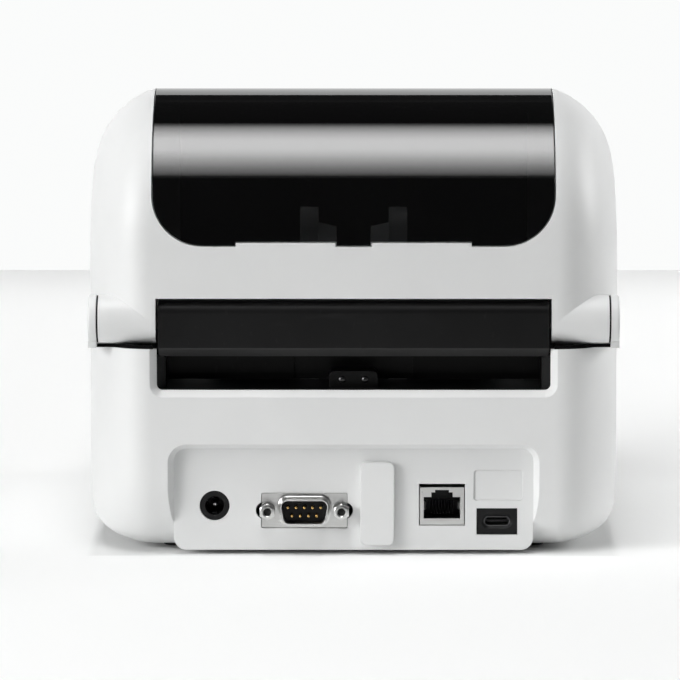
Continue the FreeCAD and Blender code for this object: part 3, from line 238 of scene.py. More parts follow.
# plastics: two close tones, uneven gloss, grain, a few handling marks
shellLook = dict(colour=(0.83, 0.835, 0.832), shade=(0.80, 0.806, 0.804), rough=(0.36, 0.44),
                 grain=2600.0, flow=26.0, bump=0.06, depth=0.00006)
blackLook = dict(colour=(0.0062, 0.0062, 0.0064), shade=(0.0074, 0.0074, 0.0076), rough=(0.36, 0.44), gloss=0.23,
                 grain=2200.0, flow=40.0, bump=0.08, depth=0.00006, edge=0.0003, scuff=0.012)
greyLook = dict(rough=(0.40, 0.50), grain=2400.0, flow=45.0, bump=0.12, depth=0.00007, edge=0.0004)
plasticLooks = {
    "whiteShell": dict(shellLook, edge=0.0004, scuff=0.03),
    "barShell": dict(shellLook, edge=0.0010, scuff=0.02),
    "blackPlastic": blackLook,
    # the tray's black with painted shade: darker inwards from a place along Y, where the slot's shade falls
    "trayPaintedShade": dict(blackLook, inner=("Y", 0.1042, 0.1058), innerColour=(0.0022, 0.0022, 0.0023)),
    # a paler black that paints the light on the beam's sloping foot
    "litLipBlack": dict(colour=(0.028, 0.028, 0.0283), shade=(0.033, 0.033, 0.0333), rough=(0.42, 0.5), gloss=0.3,
                     grain=2600.0, flow=50.0, bump=0.06, depth=0.00005, edge=0.0002, scuff=0.01),
    "greyPlastic": dict(greyLook, colour=(0.46, 0.47, 0.475), shade=(0.42, 0.43, 0.437), scuff=0.10),
    "guidePlastic": dict(greyLook, colour=(0.66, 0.67, 0.675), shade=(0.62, 0.63, 0.637), scuff=0.06),
    "gearPlastic": dict(colour=(0.78, 0.76, 0.69), shade=(0.71, 0.685, 0.60), rough=(0.30, 0.42),
                        grain=1800.0, flow=120.0, bump=0.08, depth=0.00005, edge=0.00015, scuff=0.18),
    "sensorPlastic": dict(colour=(0.035, 0.13, 0.06), shade=(0.025, 0.10, 0.047), rough=(0.38, 0.48),
                          grain=2600.0, flow=160.0, bump=0.12, depth=0.00006, edge=0.0002, scuff=0.08),
    "buttonPlastic": dict(colour=(0.26, 0.268, 0.276), shade=(0.23, 0.237, 0.245), rough=(0.42, 0.5),
                          grain=3000.0, flow=140.0, bump=0.14, depth=0.00006, edge=0.0004, scuff=0.05),
    "blackRubber": dict(colour=(0.017, 0.017, 0.0165), shade=(0.028, 0.027, 0.026), rough=(0.68, 0.84),
                        grain=1500.0, flow=90.0, bump=0.35, depth=0.0001, edge=0.0003, scuff=0.22),
    # a near black, darker than the printer's blacks, that paints the deep shade in the hinges' gaps
    "gapShadeBlack": dict(colour=(0.0024, 0.0024, 0.0024), shade=(0.0030, 0.0030, 0.0030), rough=(0.70, 0.82), gloss=0.05,
                      grain=1500.0, flow=90.0, bump=0.2, depth=0.00006, edge=0.0001, scuff=0.0),
    "glossPanel": dict(colour=(0.006, 0.006, 0.0065), shade=(0.009, 0.009, 0.0095), rough=(0.06, 0.12),
                       grain=900.0, flow=60.0, bump=0.02, depth=0.00003, edge=0.0003, scuff=0.04),
}
usualGloss = 0.5


def makePlastic(name):
    look = plasticLooks[name]
    material, tree, shader, coords = startMaterial(name)
    grain = placeGrain(tree, coords, look)
    marks = placeGroup(tree, scuffs, (-800, -250), coords, {"Amount": look["scuff"]})
    colour = mixColour(tree, (-300, 250), grain.outputs["Tone"], look["colour"], look["shade"])
    # painted shade: a darker colour up to a place along one axis, such as inside the slot where its shade falls
    if "inner" in look:  # a darker colour up to a place along one axis, such as inside the slot
        axis, start, end = look["inner"]
        split = addNode(tree, "ShaderNodeSeparateXYZ", (-800, 500))
        tree.links.new(coords, split.inputs[0])
        beyond = addNode(tree, "ShaderNodeMapRange", (-550, 500), {"From Min": start, "From Max": end})
        tree.links.new(split.outputs[axis], beyond.inputs["Value"])
        colour = mixColour(tree, (-150, 400), beyond.outputs["Result"], look["innerColour"], colour)
    mask = marks.outputs["Mask"]
    paler = tuple(min(1.0, scuffLook["keep"] * c + scuffLook["pale"]) for c in look["colour"])
    tree.links.new(mixColour(tree, (0, 250), mask, colour, paler), shader.inputs["Base Color"])
    rough = spread(tree, (-300, 0), grain.outputs["Tone"], *look["rough"])
    duller = maths(tree, (0, 0), "MULTIPLY_ADD", mask, scuffLook["dull"], rough)
    tree.links.new(duller, shader.inputs["Roughness"])
    shader.inputs["Specular IOR Level"].default_value = look.get("gloss", usualGloss)
    finishNormal(tree, shader, look, grain.outputs["Height"])
    return material


# metals: streaks along the drawing or rolling direction give the tone, the gloss and the bump
metalLooks = {
    "steel": dict(colour=(0.56, 0.57, 0.58), shade=(0.44, 0.45, 0.46), rough=(0.26, 0.42),
                  stretch=(70, 2600, 2600), bump=0.10, depth=0.00004, edge=0.00015),
    "platedSteel": dict(colour=(0.66, 0.66, 0.65), shade=(0.61, 0.61, 0.60), rough=(0.27, 0.33),
                        stretch=(180, 900, 900), bump=0.03, depth=0.00003, edge=0.00012),
    "aluminium": dict(colour=(0.74, 0.745, 0.75), shade=(0.63, 0.635, 0.645), rough=(0.28, 0.44),
                      stretch=(25, 3200, 3200), bump=0.14, depth=0.00004, edge=0.00015),
    "brass": dict(colour=(0.72, 0.53, 0.23), shade=(0.58, 0.41, 0.17), rough=(0.22, 0.36),
                  stretch=(2600, 300, 300), bump=0.10, depth=0.00004, edge=0.0001),
    # a darker copy of steel; on the contact wires, the tongue's pads, the inlet leaf and the slot's domes it paints
    # the shade deep in their holes
    "darkSteel": dict(colour=(0.13, 0.13, 0.132), shade=(0.10, 0.10, 0.102), rough=(0.26, 0.34),
                      stretch=(300, 900, 900), bump=0.04, depth=0.00003, edge=0.0001),
    "goldContact": dict(colour=(0.70, 0.48, 0.18), shade=(0.60, 0.40, 0.14), rough=(0.20, 0.30),
                        stretch=(900, 900, 900), bump=0.05, depth=0.00002, edge=0.00008),
}


def makeMetal(name):
    look = metalLooks[name]
    material, tree, shader, coords = startMaterial(name)
    shader.inputs["Metallic"].default_value = 1.0
    twoTones(tree, shader, look, placeGroup(tree, drawnStreak, (-800, 100), coords, {"Stretch": look["stretch"]}))
    return material


# smoked window: a dark polished sheet that lets a little light through, less of it where it is seen at a slant
windowLook = dict(colour=(0.0022, 0.0022, 0.0024), shade=(0.0032, 0.0032, 0.0034), rough=(0.012, 0.03),
                  slant=(0.35, 0.62), alpha=(0.60, 0.96), mirror=1.0, ior=1.63,
                  grain=60.0, flow=14.0, bump=0.01, depth=0.00003, edge=0.0003)


def makeWindow():
    look = windowLook
    material, tree, shader, coords = startMaterial("smokedWindow")
    twoTones(tree, shader, look, placeGrain(tree, coords, look))
    tilt = addNode(tree, "ShaderNodeLayerWeight", (-300, -250), {"Blend": 0.5})
    (start, end), (clear, deep) = look["slant"], look["alpha"]
    dense = addNode(tree, "ShaderNodeMapRange", (0, -250),
                    {"From Min": start, "From Max": end, "To Min": clear, "To Max": deep})
    tree.links.new(tilt.outputs["Facing"], dense.inputs["Value"])
    tree.links.new(dense.outputs["Result"], shader.inputs["Alpha"])
    shader.inputs["IOR"].default_value = look["ior"]
    shader.inputs["Specular IOR Level"].default_value = look["mirror"]
    return material


# circuit board: solder mask over tracks, which a brick pattern lays out, and tinned pads on a cell pattern
boardLook = dict(
    mask=(0.012, 0.105, 0.045), track=(0.03, 0.19, 0.085), pad=(0.62, 0.6, 0.55), rough=(0.28, 0.4),
    bricks={"Scale": 180.0, "Mortar Size": 0.12, "Mortar Smooth": 0.1, "Brick Width": 2.4, "Row Height": 0.45},
    cells={"Scale": 210.0, "Randomness": 0.55},
    padReach=[(0.16, 1.0), (0.2, 0.0)],
    edge=0.0001, bump=0.3, depth=0.00006,
)


def makeBoard():
    look = boardLook
    material, tree, shader, coords = startMaterial("circuitBoard")
    bricks = addNode(tree, "ShaderNodeTexBrick", (-700, 250), look["bricks"])
    cells = addNode(tree, "ShaderNodeTexVoronoi", (-700, -150), look["cells"])
    for pattern in (bricks, cells):
        tree.links.new(coords, pattern.inputs["Vector"])
    tracks = bricks.outputs["Fac"]
    pads = ramp(tree, (-450, -150), look["padReach"], cells.outputs["Distance"])
    green = mixColour(tree, (-150, 250), tracks, look["mask"], look["track"])
    tree.links.new(mixColour(tree, (100, 250), pads, green, look["pad"]), shader.inputs["Base Color"])
    tree.links.new(pads, shader.inputs["Metallic"])
    tree.links.new(spread(tree, (100, 0), tracks, *look["rough"]), shader.inputs["Roughness"])
    finishNormal(tree, shader, look, tracks)
    return material


# print head ceramic: a glazed plate with the dark heater line across it
headLook = dict(ceramic=(0.52, 0.46, 0.36), speck=(0.44, 0.385, 0.30), line=(0.05, 0.035, 0.025), rough=(0.12, 0.24),
                lineHalf=0.0011, lineFade=1.15, grain=3500.0, flow=220.0, bump=0.05, depth=0.00004, edge=0.0001)


def makeHead():
    look = headLook
    low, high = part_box("thermal_head")
    material, tree, shader, coords = startMaterial("headCeramic")
    grain = placeGrain(tree, coords, look)
    split = addNode(tree, "ShaderNodeSeparateXYZ", (-800, -250))
    tree.links.new(coords, split.inputs[0])
    offset = maths(tree, (-600, -250), "SUBTRACT", split.outputs["Y"], (low.y + high.y) / 2)
    away = maths(tree, (-400, -250), "ABSOLUTE", offset)
    half = look["lineHalf"]
    line = ramp(tree, (-200, -250), [(half, 1.0), (half * look["lineFade"], 0.0)], away)
    plate = mixColour(tree, (-150, 250), grain.outputs["Tone"], look["ceramic"], look["speck"])
    tree.links.new(mixColour(tree, (100, 250), line, plate, look["line"]), shader.inputs["Base Color"])
    tree.links.new(spread(tree, (100, 0), grain.outputs["Tone"], *look["rough"]), shader.inputs["Roughness"])
    finishNormal(tree, shader, look, grain.outputs["Height"])
    return material


# light pipe: clear, slightly milky
pipeLook = dict(colour=(0.70, 0.76, 0.74), shade=(0.62, 0.69, 0.67), rough=(0.08, 0.2), coat=0.6,
                grain=2000.0, flow=500.0, bump=0.05, depth=0.00003, edge=0.0001)


def makePipe():
    look = pipeLook
    material, tree, shader, coords = startMaterial("lightPipe")
    twoTones(tree, shader, look, placeGrain(tree, coords, look))
    shader.inputs["Coat Weight"].default_value = look["coat"]
    return material


finishes = {name: makePlastic(name) for name in plasticLooks}
finishes.update({name: makeMetal(name) for name in metalLooks})
finishes.update(smokedWindow=makeWindow(), circuitBoard=makeBoard(), headCeramic=makeHead(), lightPipe=makePipe())

# each of the record's slots has its finish, and a few nodes have a finer one of their own
slotFinish = {
    "white_shell": "whiteShell", "black_plastic": "blackPlastic", "smoked_window": "smokedWindow",
    "grey_plastic": "greyPlastic", "gear_plastic": "gearPlastic", "sensor_plastic": "sensorPlastic",
    "button_plastic": "buttonPlastic", "gloss_panel": "glossPanel", "light_pipe": "lightPipe",
    "circuit_board": "circuitBoard", "steel": "steel", "plated_steel": "platedSteel", "aluminium": "aluminium",
    "head_ceramic": "headCeramic", "brass": "brass", "gold_contact": "goldContact", "black_rubber": "blackRubber",
}
nodeFinish = {
    "port_blank": "barShell", "usb_shell": "darkSteel", "media_tray": "trayPaintedShade",
    "guide_left": "guidePlastic", "guide_right": "guidePlastic",
}
for part in frame["record"]["subparts"]:
    mesh = cadNodes[part["node"]].data
    mesh.materials.clear()
    mesh.materials.append(finishes[nodeFinish.get(part["node"], slotFinish[part["material_slot"]])])
print("finishes placed:", len(finishes))


# new pieces: each shape is (points, faces); shapes of one kind are joined into one piece
# a grid of closed rows becomes a tube of quads with a lid on its first and last row
def tube(grid):
    rows, columns = grid.shape[:2]
    i, j = np.meshgrid(np.arange(rows - 1), np.arange(columns), indexing="ij")
    k = (j + 1) % columns
    quads = np.stack([i * columns + j, i * columns + k, (i + 1) * columns + k, (i + 1) * columns + j], axis=-1)
    lids = [list(range(columns)), list(range((rows - 1) * columns, rows * columns))]
    return grid.reshape(-1, 3), quads.reshape(-1, 4).tolist() + lids


def roundAngles(count):
    return np.linspace(0, 2 * np.pi, count, endpoint=False)


# a bar: a closed section, given across (along side) and up, carried along a path in the plane square to side
def bar(path, side, section):
    tangent = np.gradient(path, axis=0)
    tangent /= np.linalg.norm(tangent, axis=1, keepdims=True)
    up = np.cross(tangent, side)
    return tube(path[:, None] + section[None, :, :1] * np.array(side) + section[None, :, 1:] * up[:, None])


# an ellipse of the two half sizes, each wave raised to 2 / power: a power over 2 squares it up
def ovalSection(half, rise, power, count):
    angle = roundAngles(count)
    waves = np.stack([np.cos(angle), np.sin(angle)], axis=1)
    return np.array((half, rise)) * np.sign(waves) * np.abs(waves) ** (2 / power)


# a turned shape: rings of the given radii at the given heights along an axis
def turned(centre, axis, profile, count=24):
    axis = np.array(axis, float)
    first = np.cross(axis, (0.0, 0.0, 1.0) if abs(axis[2]) < 0.5 else (1.0, 0.0, 0.0))
    second = np.cross(axis, first)
    angle = roundAngles(count)
    ring = np.cos(angle)[:, None] * first + np.sin(angle)[:, None] * second
    radius, height = np.array(profile).T
    return tube(np.array(centre) + radius[:, None, None] * ring + height[:, None, None] * axis)


# a dome: rings along a quarter ellipse that stops just short of its top
def domeProfile(radius, rise, start=0.0, steps=8, share=0.97):
    arc = np.linspace(0, np.pi / 2 * share, steps)
    return np.stack([radius * np.cos(arc), start + rise * np.sin(arc)], axis=1)


# places of equal steps to both sides of a middle
def evenRow(count, pitch):
    return (np.arange(count) - (count - 1) / 2) * pitch


smoothAngle = 0.6


def addPiece(name, shapes, body, slotName, finish=None, standsFor=()):
    starts = np.cumsum([0] + [len(points) for points, _ in shapes])
    points = np.concatenate([points for points, _ in shapes])
    faces = [[int(v) + int(start) for v in face] for start, (_, own) in zip(starts, shapes) for face in own]
    mesh = bpy.data.meshes.new(name)
    mesh.from_pydata(points.tolist(), [], faces)
    edit = bmesh.new()
    edit.from_mesh(mesh)
    bmesh.ops.recalc_face_normals(edit, faces=edit.faces)
    edit.to_mesh(mesh)
    edit.free()
    mesh.polygons.foreach_set("use_smooth", [len(p.vertices) == 4 for p in mesh.polygons])
    mesh.set_sharp_from_angle(angle=smoothAngle)
    mesh.materials.append(finishes[finish or slotFinish[slotName]])
    piece = bpy.data.objects.new(name, mesh)
    scene.collection.objects.link(piece)
    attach(piece, body)
    if standsFor:
        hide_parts(*standsFor)


# network port: eight contact wires that rise towards the back, and a spring finger on each side of the mouth
portLook = dict(count=8, pitch=0.00102, wire=(0.00021, 0.000147), low=0.0031, rise=0.0036, front=0.0022, back=0.0098,
                finger=(0.0012, 0.00012), bulge=0.0009, fingerHeight=0.0058, fingerStart=0.0002, fingerLength=0.004,
                mouth=0.00615, steps=14)


def makePortContacts():
    look = portLook
    low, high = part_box("lan_body")
    middle = (low.x + high.x) / 2
    t = np.linspace(0, 1, look["steps"])
    wires, fingers = [], []
    for x in middle + evenRow(look["count"], look["pitch"]):
        # a quarter wave: steep where the wire leaves the floor of the mouth, level at its tip
        path = np.stack([np.full_like(t, x), high.y - look["front"] - (look["back"] - look["front"]) * t,
                         low.z + look["low"] + look["rise"] * np.sin(t * np.pi / 2)], axis=1)
        wires.append(bar(path, (1, 0, 0), ovalSection(*look["wire"], power=4.0, count=8)))
    for side in (-1, 1):
        # half a wave: the finger leaves the wall, stands into the mouth and returns
        path = np.stack([middle + side * (look["mouth"] - look["bulge"] * np.sin(t * np.pi)),
                         high.y - look["fingerStart"] - look["fingerLength"] * t,
                         np.full_like(t, low.z + look["fingerHeight"])], axis=1)
        fingers.append(bar(path, (0, 0, 1), ovalSection(*look["finger"], power=6.0, count=12)))
    # painted shade: the wires take the darker copy of steel, for the shade deep in the port
    addPiece("portContacts", wires, "base", "gold_contact", "darkSteel")
    addPiece("portFingers", fingers, "base", "plated_steel")


# supply port: a row of contact pads on either side of the tongue, each a flat oval section along a straight line
padLook = dict(count=12, pitch=0.0005, half=0.00014, rise=0.00005, start=0.0003, length=0.0024, steps=4)


def makeTonguePads():
    look = padLook
    low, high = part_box("usb_tongue")
    y = high.y - look["start"] - look["length"] * np.linspace(0, 1, look["steps"])
    pads = []
    for z in (low.z, high.z):
        for x in (low.x + high.x) / 2 + evenRow(look["count"], look["pitch"]):
            path = np.stack([np.full_like(y, x), y, np.full_like(y, z)], axis=1)
            pads.append(bar(path, (1, 0, 0), ovalSection(look["half"], look["rise"], power=6.0, count=8)))
    # painted shade: the pads take the darker copy of steel, for the shade deep in the port
    addPiece("tonguePads", pads, "base", "gold_contact", "darkSteel")


# power inlet: a leaf that bows up from the floor of the bore by half a wave
leafLook = dict(drop=0.0028, bulge=0.0009, start=0.0016, length=0.008, half=0.0009, thick=0.00012, steps=18)


def makeInletLeaf():
    look = leafLook
    low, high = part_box("dc_pin")
    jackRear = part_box("dc_jack")[1].y
    t = np.linspace(0, 1, look["steps"])
    path = np.stack([np.full_like(t, (low.x + high.x) / 2), jackRear - look["start"] - look["length"] * t,
                     (low.z + high.z) / 2 - look["drop"] + look["bulge"] * np.sin(t * np.pi)], axis=1)
    leaf = bar(path, (1, 0, 0), ovalSection(look["half"], look["thick"], power=6.0, count=12))
    # painted shade: the leaf takes the darker copy of steel, for the shade deep in the bore
    addPiece("inletLeaf", [leaf], "base", "plated_steel", "darkSteel")


# serial port: nine round ended pins; power inlet: one thicker pin; both are a straight ring and then a dome
pinLook = dict(radius=0.0005, pitch=0.00277, rows=((1, 5), (-1, 4)), inletRise=0.0009, inletSides=32)


def pinProfile(radius, length, rise):
    return np.concatenate([[(radius, 0.0)], domeProfile(radius, rise, length - rise)])


def makePins():
    look = pinLook
    low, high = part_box("serial_pins")
    middle = (low + high) / 2
    lift = (high.z - low.z) / 2 - look["radius"]
    profile = pinProfile(look["radius"], high.y - low.y, look["radius"])
    pins = [turned((middle.x + x, low.y, middle.z + side * lift), (0, 1, 0), profile)
            for side, count in look["rows"] for x in evenRow(count, look["pitch"])]
    addPiece("serialPins", pins, "base", "gold_contact", standsFor=["serial_pins"])
    low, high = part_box("dc_pin")
    middle = (low + high) / 2
    profile = pinProfile((high.x - low.x) / 2, high.y - low.y, look["inletRise"])
    pin = turned((middle.x, low.y, middle.z), (0, 1, 0), profile, look["inletSides"])
    addPiece("inletPin", [pin], "base", "gold_contact", "platedSteel", ["dc_pin"])


# serial port: hexagonal standoffs with a chamfered end and a threaded hole, which ends in a dark cup that paints the
# shade deep in the hole
hexLook = dict(
    sides=96, chamfer=0.0007, chamferRows=7, crown=0.90, slope=1.73, mouth=0.0016, mouthDepth=0.0003,
    bore=0.0013, thread=0.00012, threadStart=0.0004, turns=5, pitch=0.0006, centre=0.0001, beyond=1.0,
    cupDepth=0.0016,
    cup=[(0.00136, 0.0), (0.00136, 0.0009), (0.001156, 0.0008), (0.00068, 0.0003), (0.0001, 0.0002)],
)


# the flats' distance at every angle, held back to a cone at the chamfer; the rows then fold over into the hole
def hexStandoff(low, high):
    look = hexLook
    apothem = (high.x - low.x) / 2
    angle = roundAngles(look["sides"])
    flats = apothem / np.cos((angle + np.pi / 6) % (np.pi / 3) - np.pi / 6)
    cone = np.linspace(1, 0, look["chamferRows"]) * look["chamfer"]
    threads = look["threadStart"] + np.arange(2 * look["turns"]) * look["pitch"] / 2
    depth = np.concatenate([[high.y - low.y], cone, [0.0, look["mouthDepth"]], threads, threads[-1:]])
    limit = np.concatenate([[look["beyond"]], look["crown"] * apothem + look["slope"] * cone,
                            [look["mouth"], look["bore"]],
                            look["bore"] + look["thread"] * (np.arange(threads.size) % 2), [look["centre"]]])
    radius = np.minimum(flats, limit[:, None])
    middle = (low + high) / 2
    return tube(np.stack([middle.x + radius * np.cos(angle),
                          np.broadcast_to(high.y - depth[:, None], radius.shape),
                          middle.z + radius * np.sin(angle)], axis=-1))


def makeStandoffs():
    look = hexLook
    shades = []
    for side in ("left", "right"):
        node = "serial_standoff_" + side
        low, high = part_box(node)
        middle = (low + high) / 2
        addPiece("standoff" + side.title(), [hexStandoff(low, high)], "base", "plated_steel", standsFor=[node])
        shades.append(turned((middle.x, high.y - look["cupDepth"], middle.z), (0, 1, 0), look["cup"]))
    addPiece("standoffShades", shades, "base", "plated_steel", "blackRubber")


# rear beam: a paler black strip along its sloping foot, which paints the light that the foot catches from the floor;
# given by the foot's lower and upper edge
lipLook = dict(half=0.0655, low=(0.1067, 0.0674), high=(0.1104, 0.0704), proud=0.00012, thick=0.0004,
               steps=24)


def makeBeamLip():
    look = lipLook
    low, high = np.array(look["low"]), np.array(look["high"])
    slope = (high - low) / np.linalg.norm(high - low)
    out = np.array((slope[1], -slope[0]))
    section = np.stack([low + look["proud"] * out, high + look["proud"] * out, high - look["thick"] * out,
                        low - look["thick"] * out])
    x = np.linspace(-look["half"], look["half"], look["steps"])
    path = np.stack([x, np.zeros_like(x), np.zeros_like(x)], axis=1)
    addPiece("beamLip", [bar(path, (0, 1, 0), section)], "base", "black_plastic", "litLipBlack")


# hinges: painted shade in the gaps, a near black disc between each knuckle and its ear and a near black strip on the
# case's rim under the knuckle, so that the gaps read black
hingeLook = dict(
    gapDisc=(0.08605, 0.08645), radius=0.00795, rimHeight=0.07012, stripTop=0.0711, setback=0.00035, width=0.0020,
    clear=0.1031, tail=0.0013, reach=(0.0674, 0.0865),
    rim=[(0.067, 0.1110), (0.070, 0.1109), (0.072, 0.11056), (0.074, 0.1099), (0.076, 0.10893), (0.078, 0.10751),
         (0.080, 0.10564), (0.082, 0.10317)],  # across and back, along the rim's outer edge
    gapDiscSides=48, stripSteps=20,
)


# the disc is turned; the strip is a box section that follows the rim, then runs straight on to the ear
def makeHingeBlacks():
    look = hingeLook
    low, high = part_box("hinge_pin_left")
    middle = (low + high) / 2
    start, end = look["gapDisc"]
    disc = [(look["radius"], 0.0), (look["radius"], end - start)]
    x = np.linspace(*look["reach"], look["stripSteps"])
    back = np.maximum(np.interp(x, *np.array(look["rim"]).T) - look["setback"], look["clear"] + look["tail"])
    fore = np.maximum(back - look["width"], look["clear"])
    bottom, top = look["rimHeight"], look["stripTop"]
    gapDiscs, strips = [], []
    for side in (1, -1):
        gapDiscs.append(turned((side * start, middle.y, middle.z), (side, 0, 0), disc, look["gapDiscSides"]))
        edges = [np.stack([side * x, y, np.full_like(x, z)], axis=1)
                 for y, z in ((back, bottom), (back, top), (fore, top), (fore, bottom))]
        strips.append(tube(np.stack(edges, axis=1)))
    addPiece("hingeGapShades", gapDiscs, "base", "black_plastic", "gapShadeBlack")
    addPiece("rimGapShades", strips, "base", "black_plastic", "gapShadeBlack")


# fanfold slot: a black sheet hangs behind it from the beam's front face, over the label's way, and paints the shade
# deep in the slot; a darker plate on either half paints deeper shade there
slotShadeLook = dict(half=0.0645, inner=0.0201, face=0.0914, front=0.0893, low=0.0578, high=0.0702, sheet=0.0009,
                flange=0.0012, plate=0.0004)


# an angle section along the whole width, and on its rear a flat section along each half
def makeSlotShade():
    look = slotShadeLook
    front, low, high, face = look["front"], look["low"], look["high"], look["face"]
    rear, under = front + look["sheet"], high - look["flange"]
    angle = np.array([(front, low), (rear, low), (rear, under), (face, under), (face, high), (front, high)])
    flat = np.array([(rear, low), (rear + look["plate"], low), (rear + look["plate"], under), (rear, under)])

    def along(start, end, section):
        return bar(np.array([(start, 0, 0), (end, 0, 0)], float), (0, 1, 0), section)

    addPiece("slotShadeSheet", [along(-look["half"], look["half"], angle)], "base", "black_plastic", "blackPlastic")
    plates = [along(look["inner"], look["half"], flat), along(-look["half"], -look["inner"], flat)]
    addPiece("slotShadePlates", plates, "base", "black_plastic", "trayPaintedShade")


# fanfold slot: two small domed heads on the block in its middle
slotDomeLook = dict(radius=0.0012, rise=0.0007, offset=0.0039, setback=0.00805, drop=0.0112, steps=7, share=0.96)


def makeSlotDomes():
    look = slotDomeLook
    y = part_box("media_tray")[1].y - look["setback"]
    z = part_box("exit_lip")[1].z - look["drop"]
    profile = domeProfile(look["radius"], look["rise"], steps=look["steps"], share=look["share"])
    domes = [turned((side * look["offset"], y, z), (0, 1, 0), profile) for side in (-1, 1)]
    # painted shade: the domes take the darker copy of steel, for the shade deep in the slot
    addPiece("slotDomes", domes, "base", "steel", "darkSteel")


# deck: low ribs along the label's way
ribLook = dict(count=13, pitch=0.0085, half=0.0006, rise=0.0005, near=-0.061, far=-0.0445, height=0.0562, steps=12,
               runOut=0.35)


def makeDeckRibs():
    look = ribLook
    t = np.linspace(0, 1, look["steps"])
    y = look["near"] + (look["far"] - look["near"]) * t
    # the ends run out: the rib sinks into the deck by one less a low power of half a wave
    sink = look["rise"] * (1 - np.maximum(np.sin(np.pi * t), 0) ** look["runOut"])
    ribs = []
    for x in evenRow(look["count"], look["pitch"]):
        path = np.stack([np.full_like(y, x), y, look["height"] - sink], axis=1)
        ribs.append(bar(path, (1, 0, 0), ovalSection(look["half"], look["rise"], power=2.5, count=10)))
    addPiece("deckRibs", ribs, "base", "black_plastic")


# finger levers: upright grip ridges in their dished faces, each an oval section along a straight line
ridgeLook = dict(count=4, pitch=0.0021, half=0.00045, rise=0.0005, dish=0.0012, lever=(0.0549, 0.0659), inset=0.0034,
                 steps=8)


def makeLeverRidges():
    look = ridgeLook
    foot, top = look["lever"]
    z = np.linspace(foot + look["inset"], top - look["inset"], look["steps"])
    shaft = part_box("latch_shaft")
    middle = (shaft[0].y + shaft[1].y) / 2
    for name, side in (("latch_left", 1), ("latch_right", -1)):
        low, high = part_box(name)
        face = (high.x if side > 0 else low.x) - side * look["dish"]
        ridges = []
        for y in middle + evenRow(look["count"], look["pitch"]):
            path = np.stack([np.full_like(z, face), np.full_like(z, y), z], axis=1)
            ridges.append(bar(path, (0, 1, 0), ovalSection(look["half"], look["rise"], power=2.0, count=12)))
        addPiece(name + "Ridges", ridges, "latch", "grey_plastic")


# underside: turned screw heads with a round socket, one beside each foot
screwLook = dict(
    offset=0.014,
    profile=[(0.0031, 0.0), (0.0031, 0.00035), (0.002635, 0.0007), (0.0014, 0.0007), (0.00126, 0.00021),
             (0.0002, 0.00014)],
)


def makeBaseScrews():
    look = screwLook
    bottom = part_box("lower_case")[0].z
    heads = []
    for i in range(1, 5):
        low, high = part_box("foot_%d" % i)
        centre = (low + high) / 2
        inward = 1 if centre.y < 0 else -1
        heads.append(turned((centre.x, centre.y + inward * look["offset"], bottom), (0, 0, -1), look["profile"]))
    addPiece("baseScrews", heads, "base", "steel")


# print head: the glazed bead that carries the heater line, an oval section along a straight line
beadLook = dict(half=0.0012, rise=0.00026, margin=0.002, steps=24)


def makeHeaterBead():
    look = beadLook
    low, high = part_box("thermal_head")
    x = np.linspace(low.x + look["margin"], high.x - look["margin"], look["steps"])
    path = np.stack([x, np.full_like(x, (low.y + high.y) / 2), np.full_like(x, low.z)], axis=1)
    bead = bar(path, (0, 1, 0), ovalSection(look["half"], look["rise"], power=2.0, count=16))
    addPiece("heaterBead", [bead], "print_head", "head_ceramic")


makePortContacts()
makeTonguePads()
makeInletLeaf()
makePins()
makeStandoffs()
makeBeamLip()
makeHingeBlacks()
makeSlotShade()
makeSlotDomes()
makeDeckRibs()
makeLeverRidges()
makeBaseScrews()
makeHeaterBead()
print("pieces added")


# stage: a pale floor, a white card beyond it that the window mirrors, and a white room round both
stageLook = dict(
    floorNear=0.45, floorFar=-0.915, floorHalf=1.6, wallHeight=0.80, wallLevel=0.97,
    whiteTint=(0.992, 1.0, 0.996, 1.0),
    floorColour=(0.90, 0.905, 0.902, 1.0), floorRough=0.9, floorGloss=0.1, cardColour=(0.8, 0.8, 0.8, 1.0),
    glow=[(0, 0.17), (1, 0.125), (0.08, 0.288), (0.13, 0.333), (0.2, 0.344), (0.37, 0.305), (0.48, 0.25),
          (0.57, 0.175), (0.65, 0.135)],  # share of the floor's length from the horizon, strength there
    footprint=(0.0875, 0.109), footprintFade=0.004,
    roomHalf=8.0, roomLow=-0.004, roomTop=8.0,
)


def flatSheet(name, corners, faces=((0, 1, 2, 3),)):
    mesh = bpy.data.meshes.new(name)
    mesh.from_pydata(corners, [], faces)
    sheet = bpy.data.objects.new(name, mesh)
    scene.collection.objects.link(sheet)
    return sheet


# a material without its usual shader
def bareMaterial(name):
    material = bpy.data.materials.new(name)
    material.use_nodes = True
    tree = material.node_tree
    tree.nodes.remove(tree.nodes["Principled BSDF"])
    return material, tree, tree.nodes["Material Output"].inputs["Surface"]


# 1 for what is seen directly, in a mirror or through glass, 0 for the light that falls on the pieces
def seenMask(tree, place):
    x, y = place
    rays = addNode(tree, "ShaderNodeLightPath", place).outputs
    seen = maths(tree, (x + 200, y), "MAXIMUM", rays["Is Camera Ray"], rays["Is Glossy Ray"])
    return maths(tree, (x + 400, y), "MAXIMUM", seen, rays["Is Transmission Ray"])


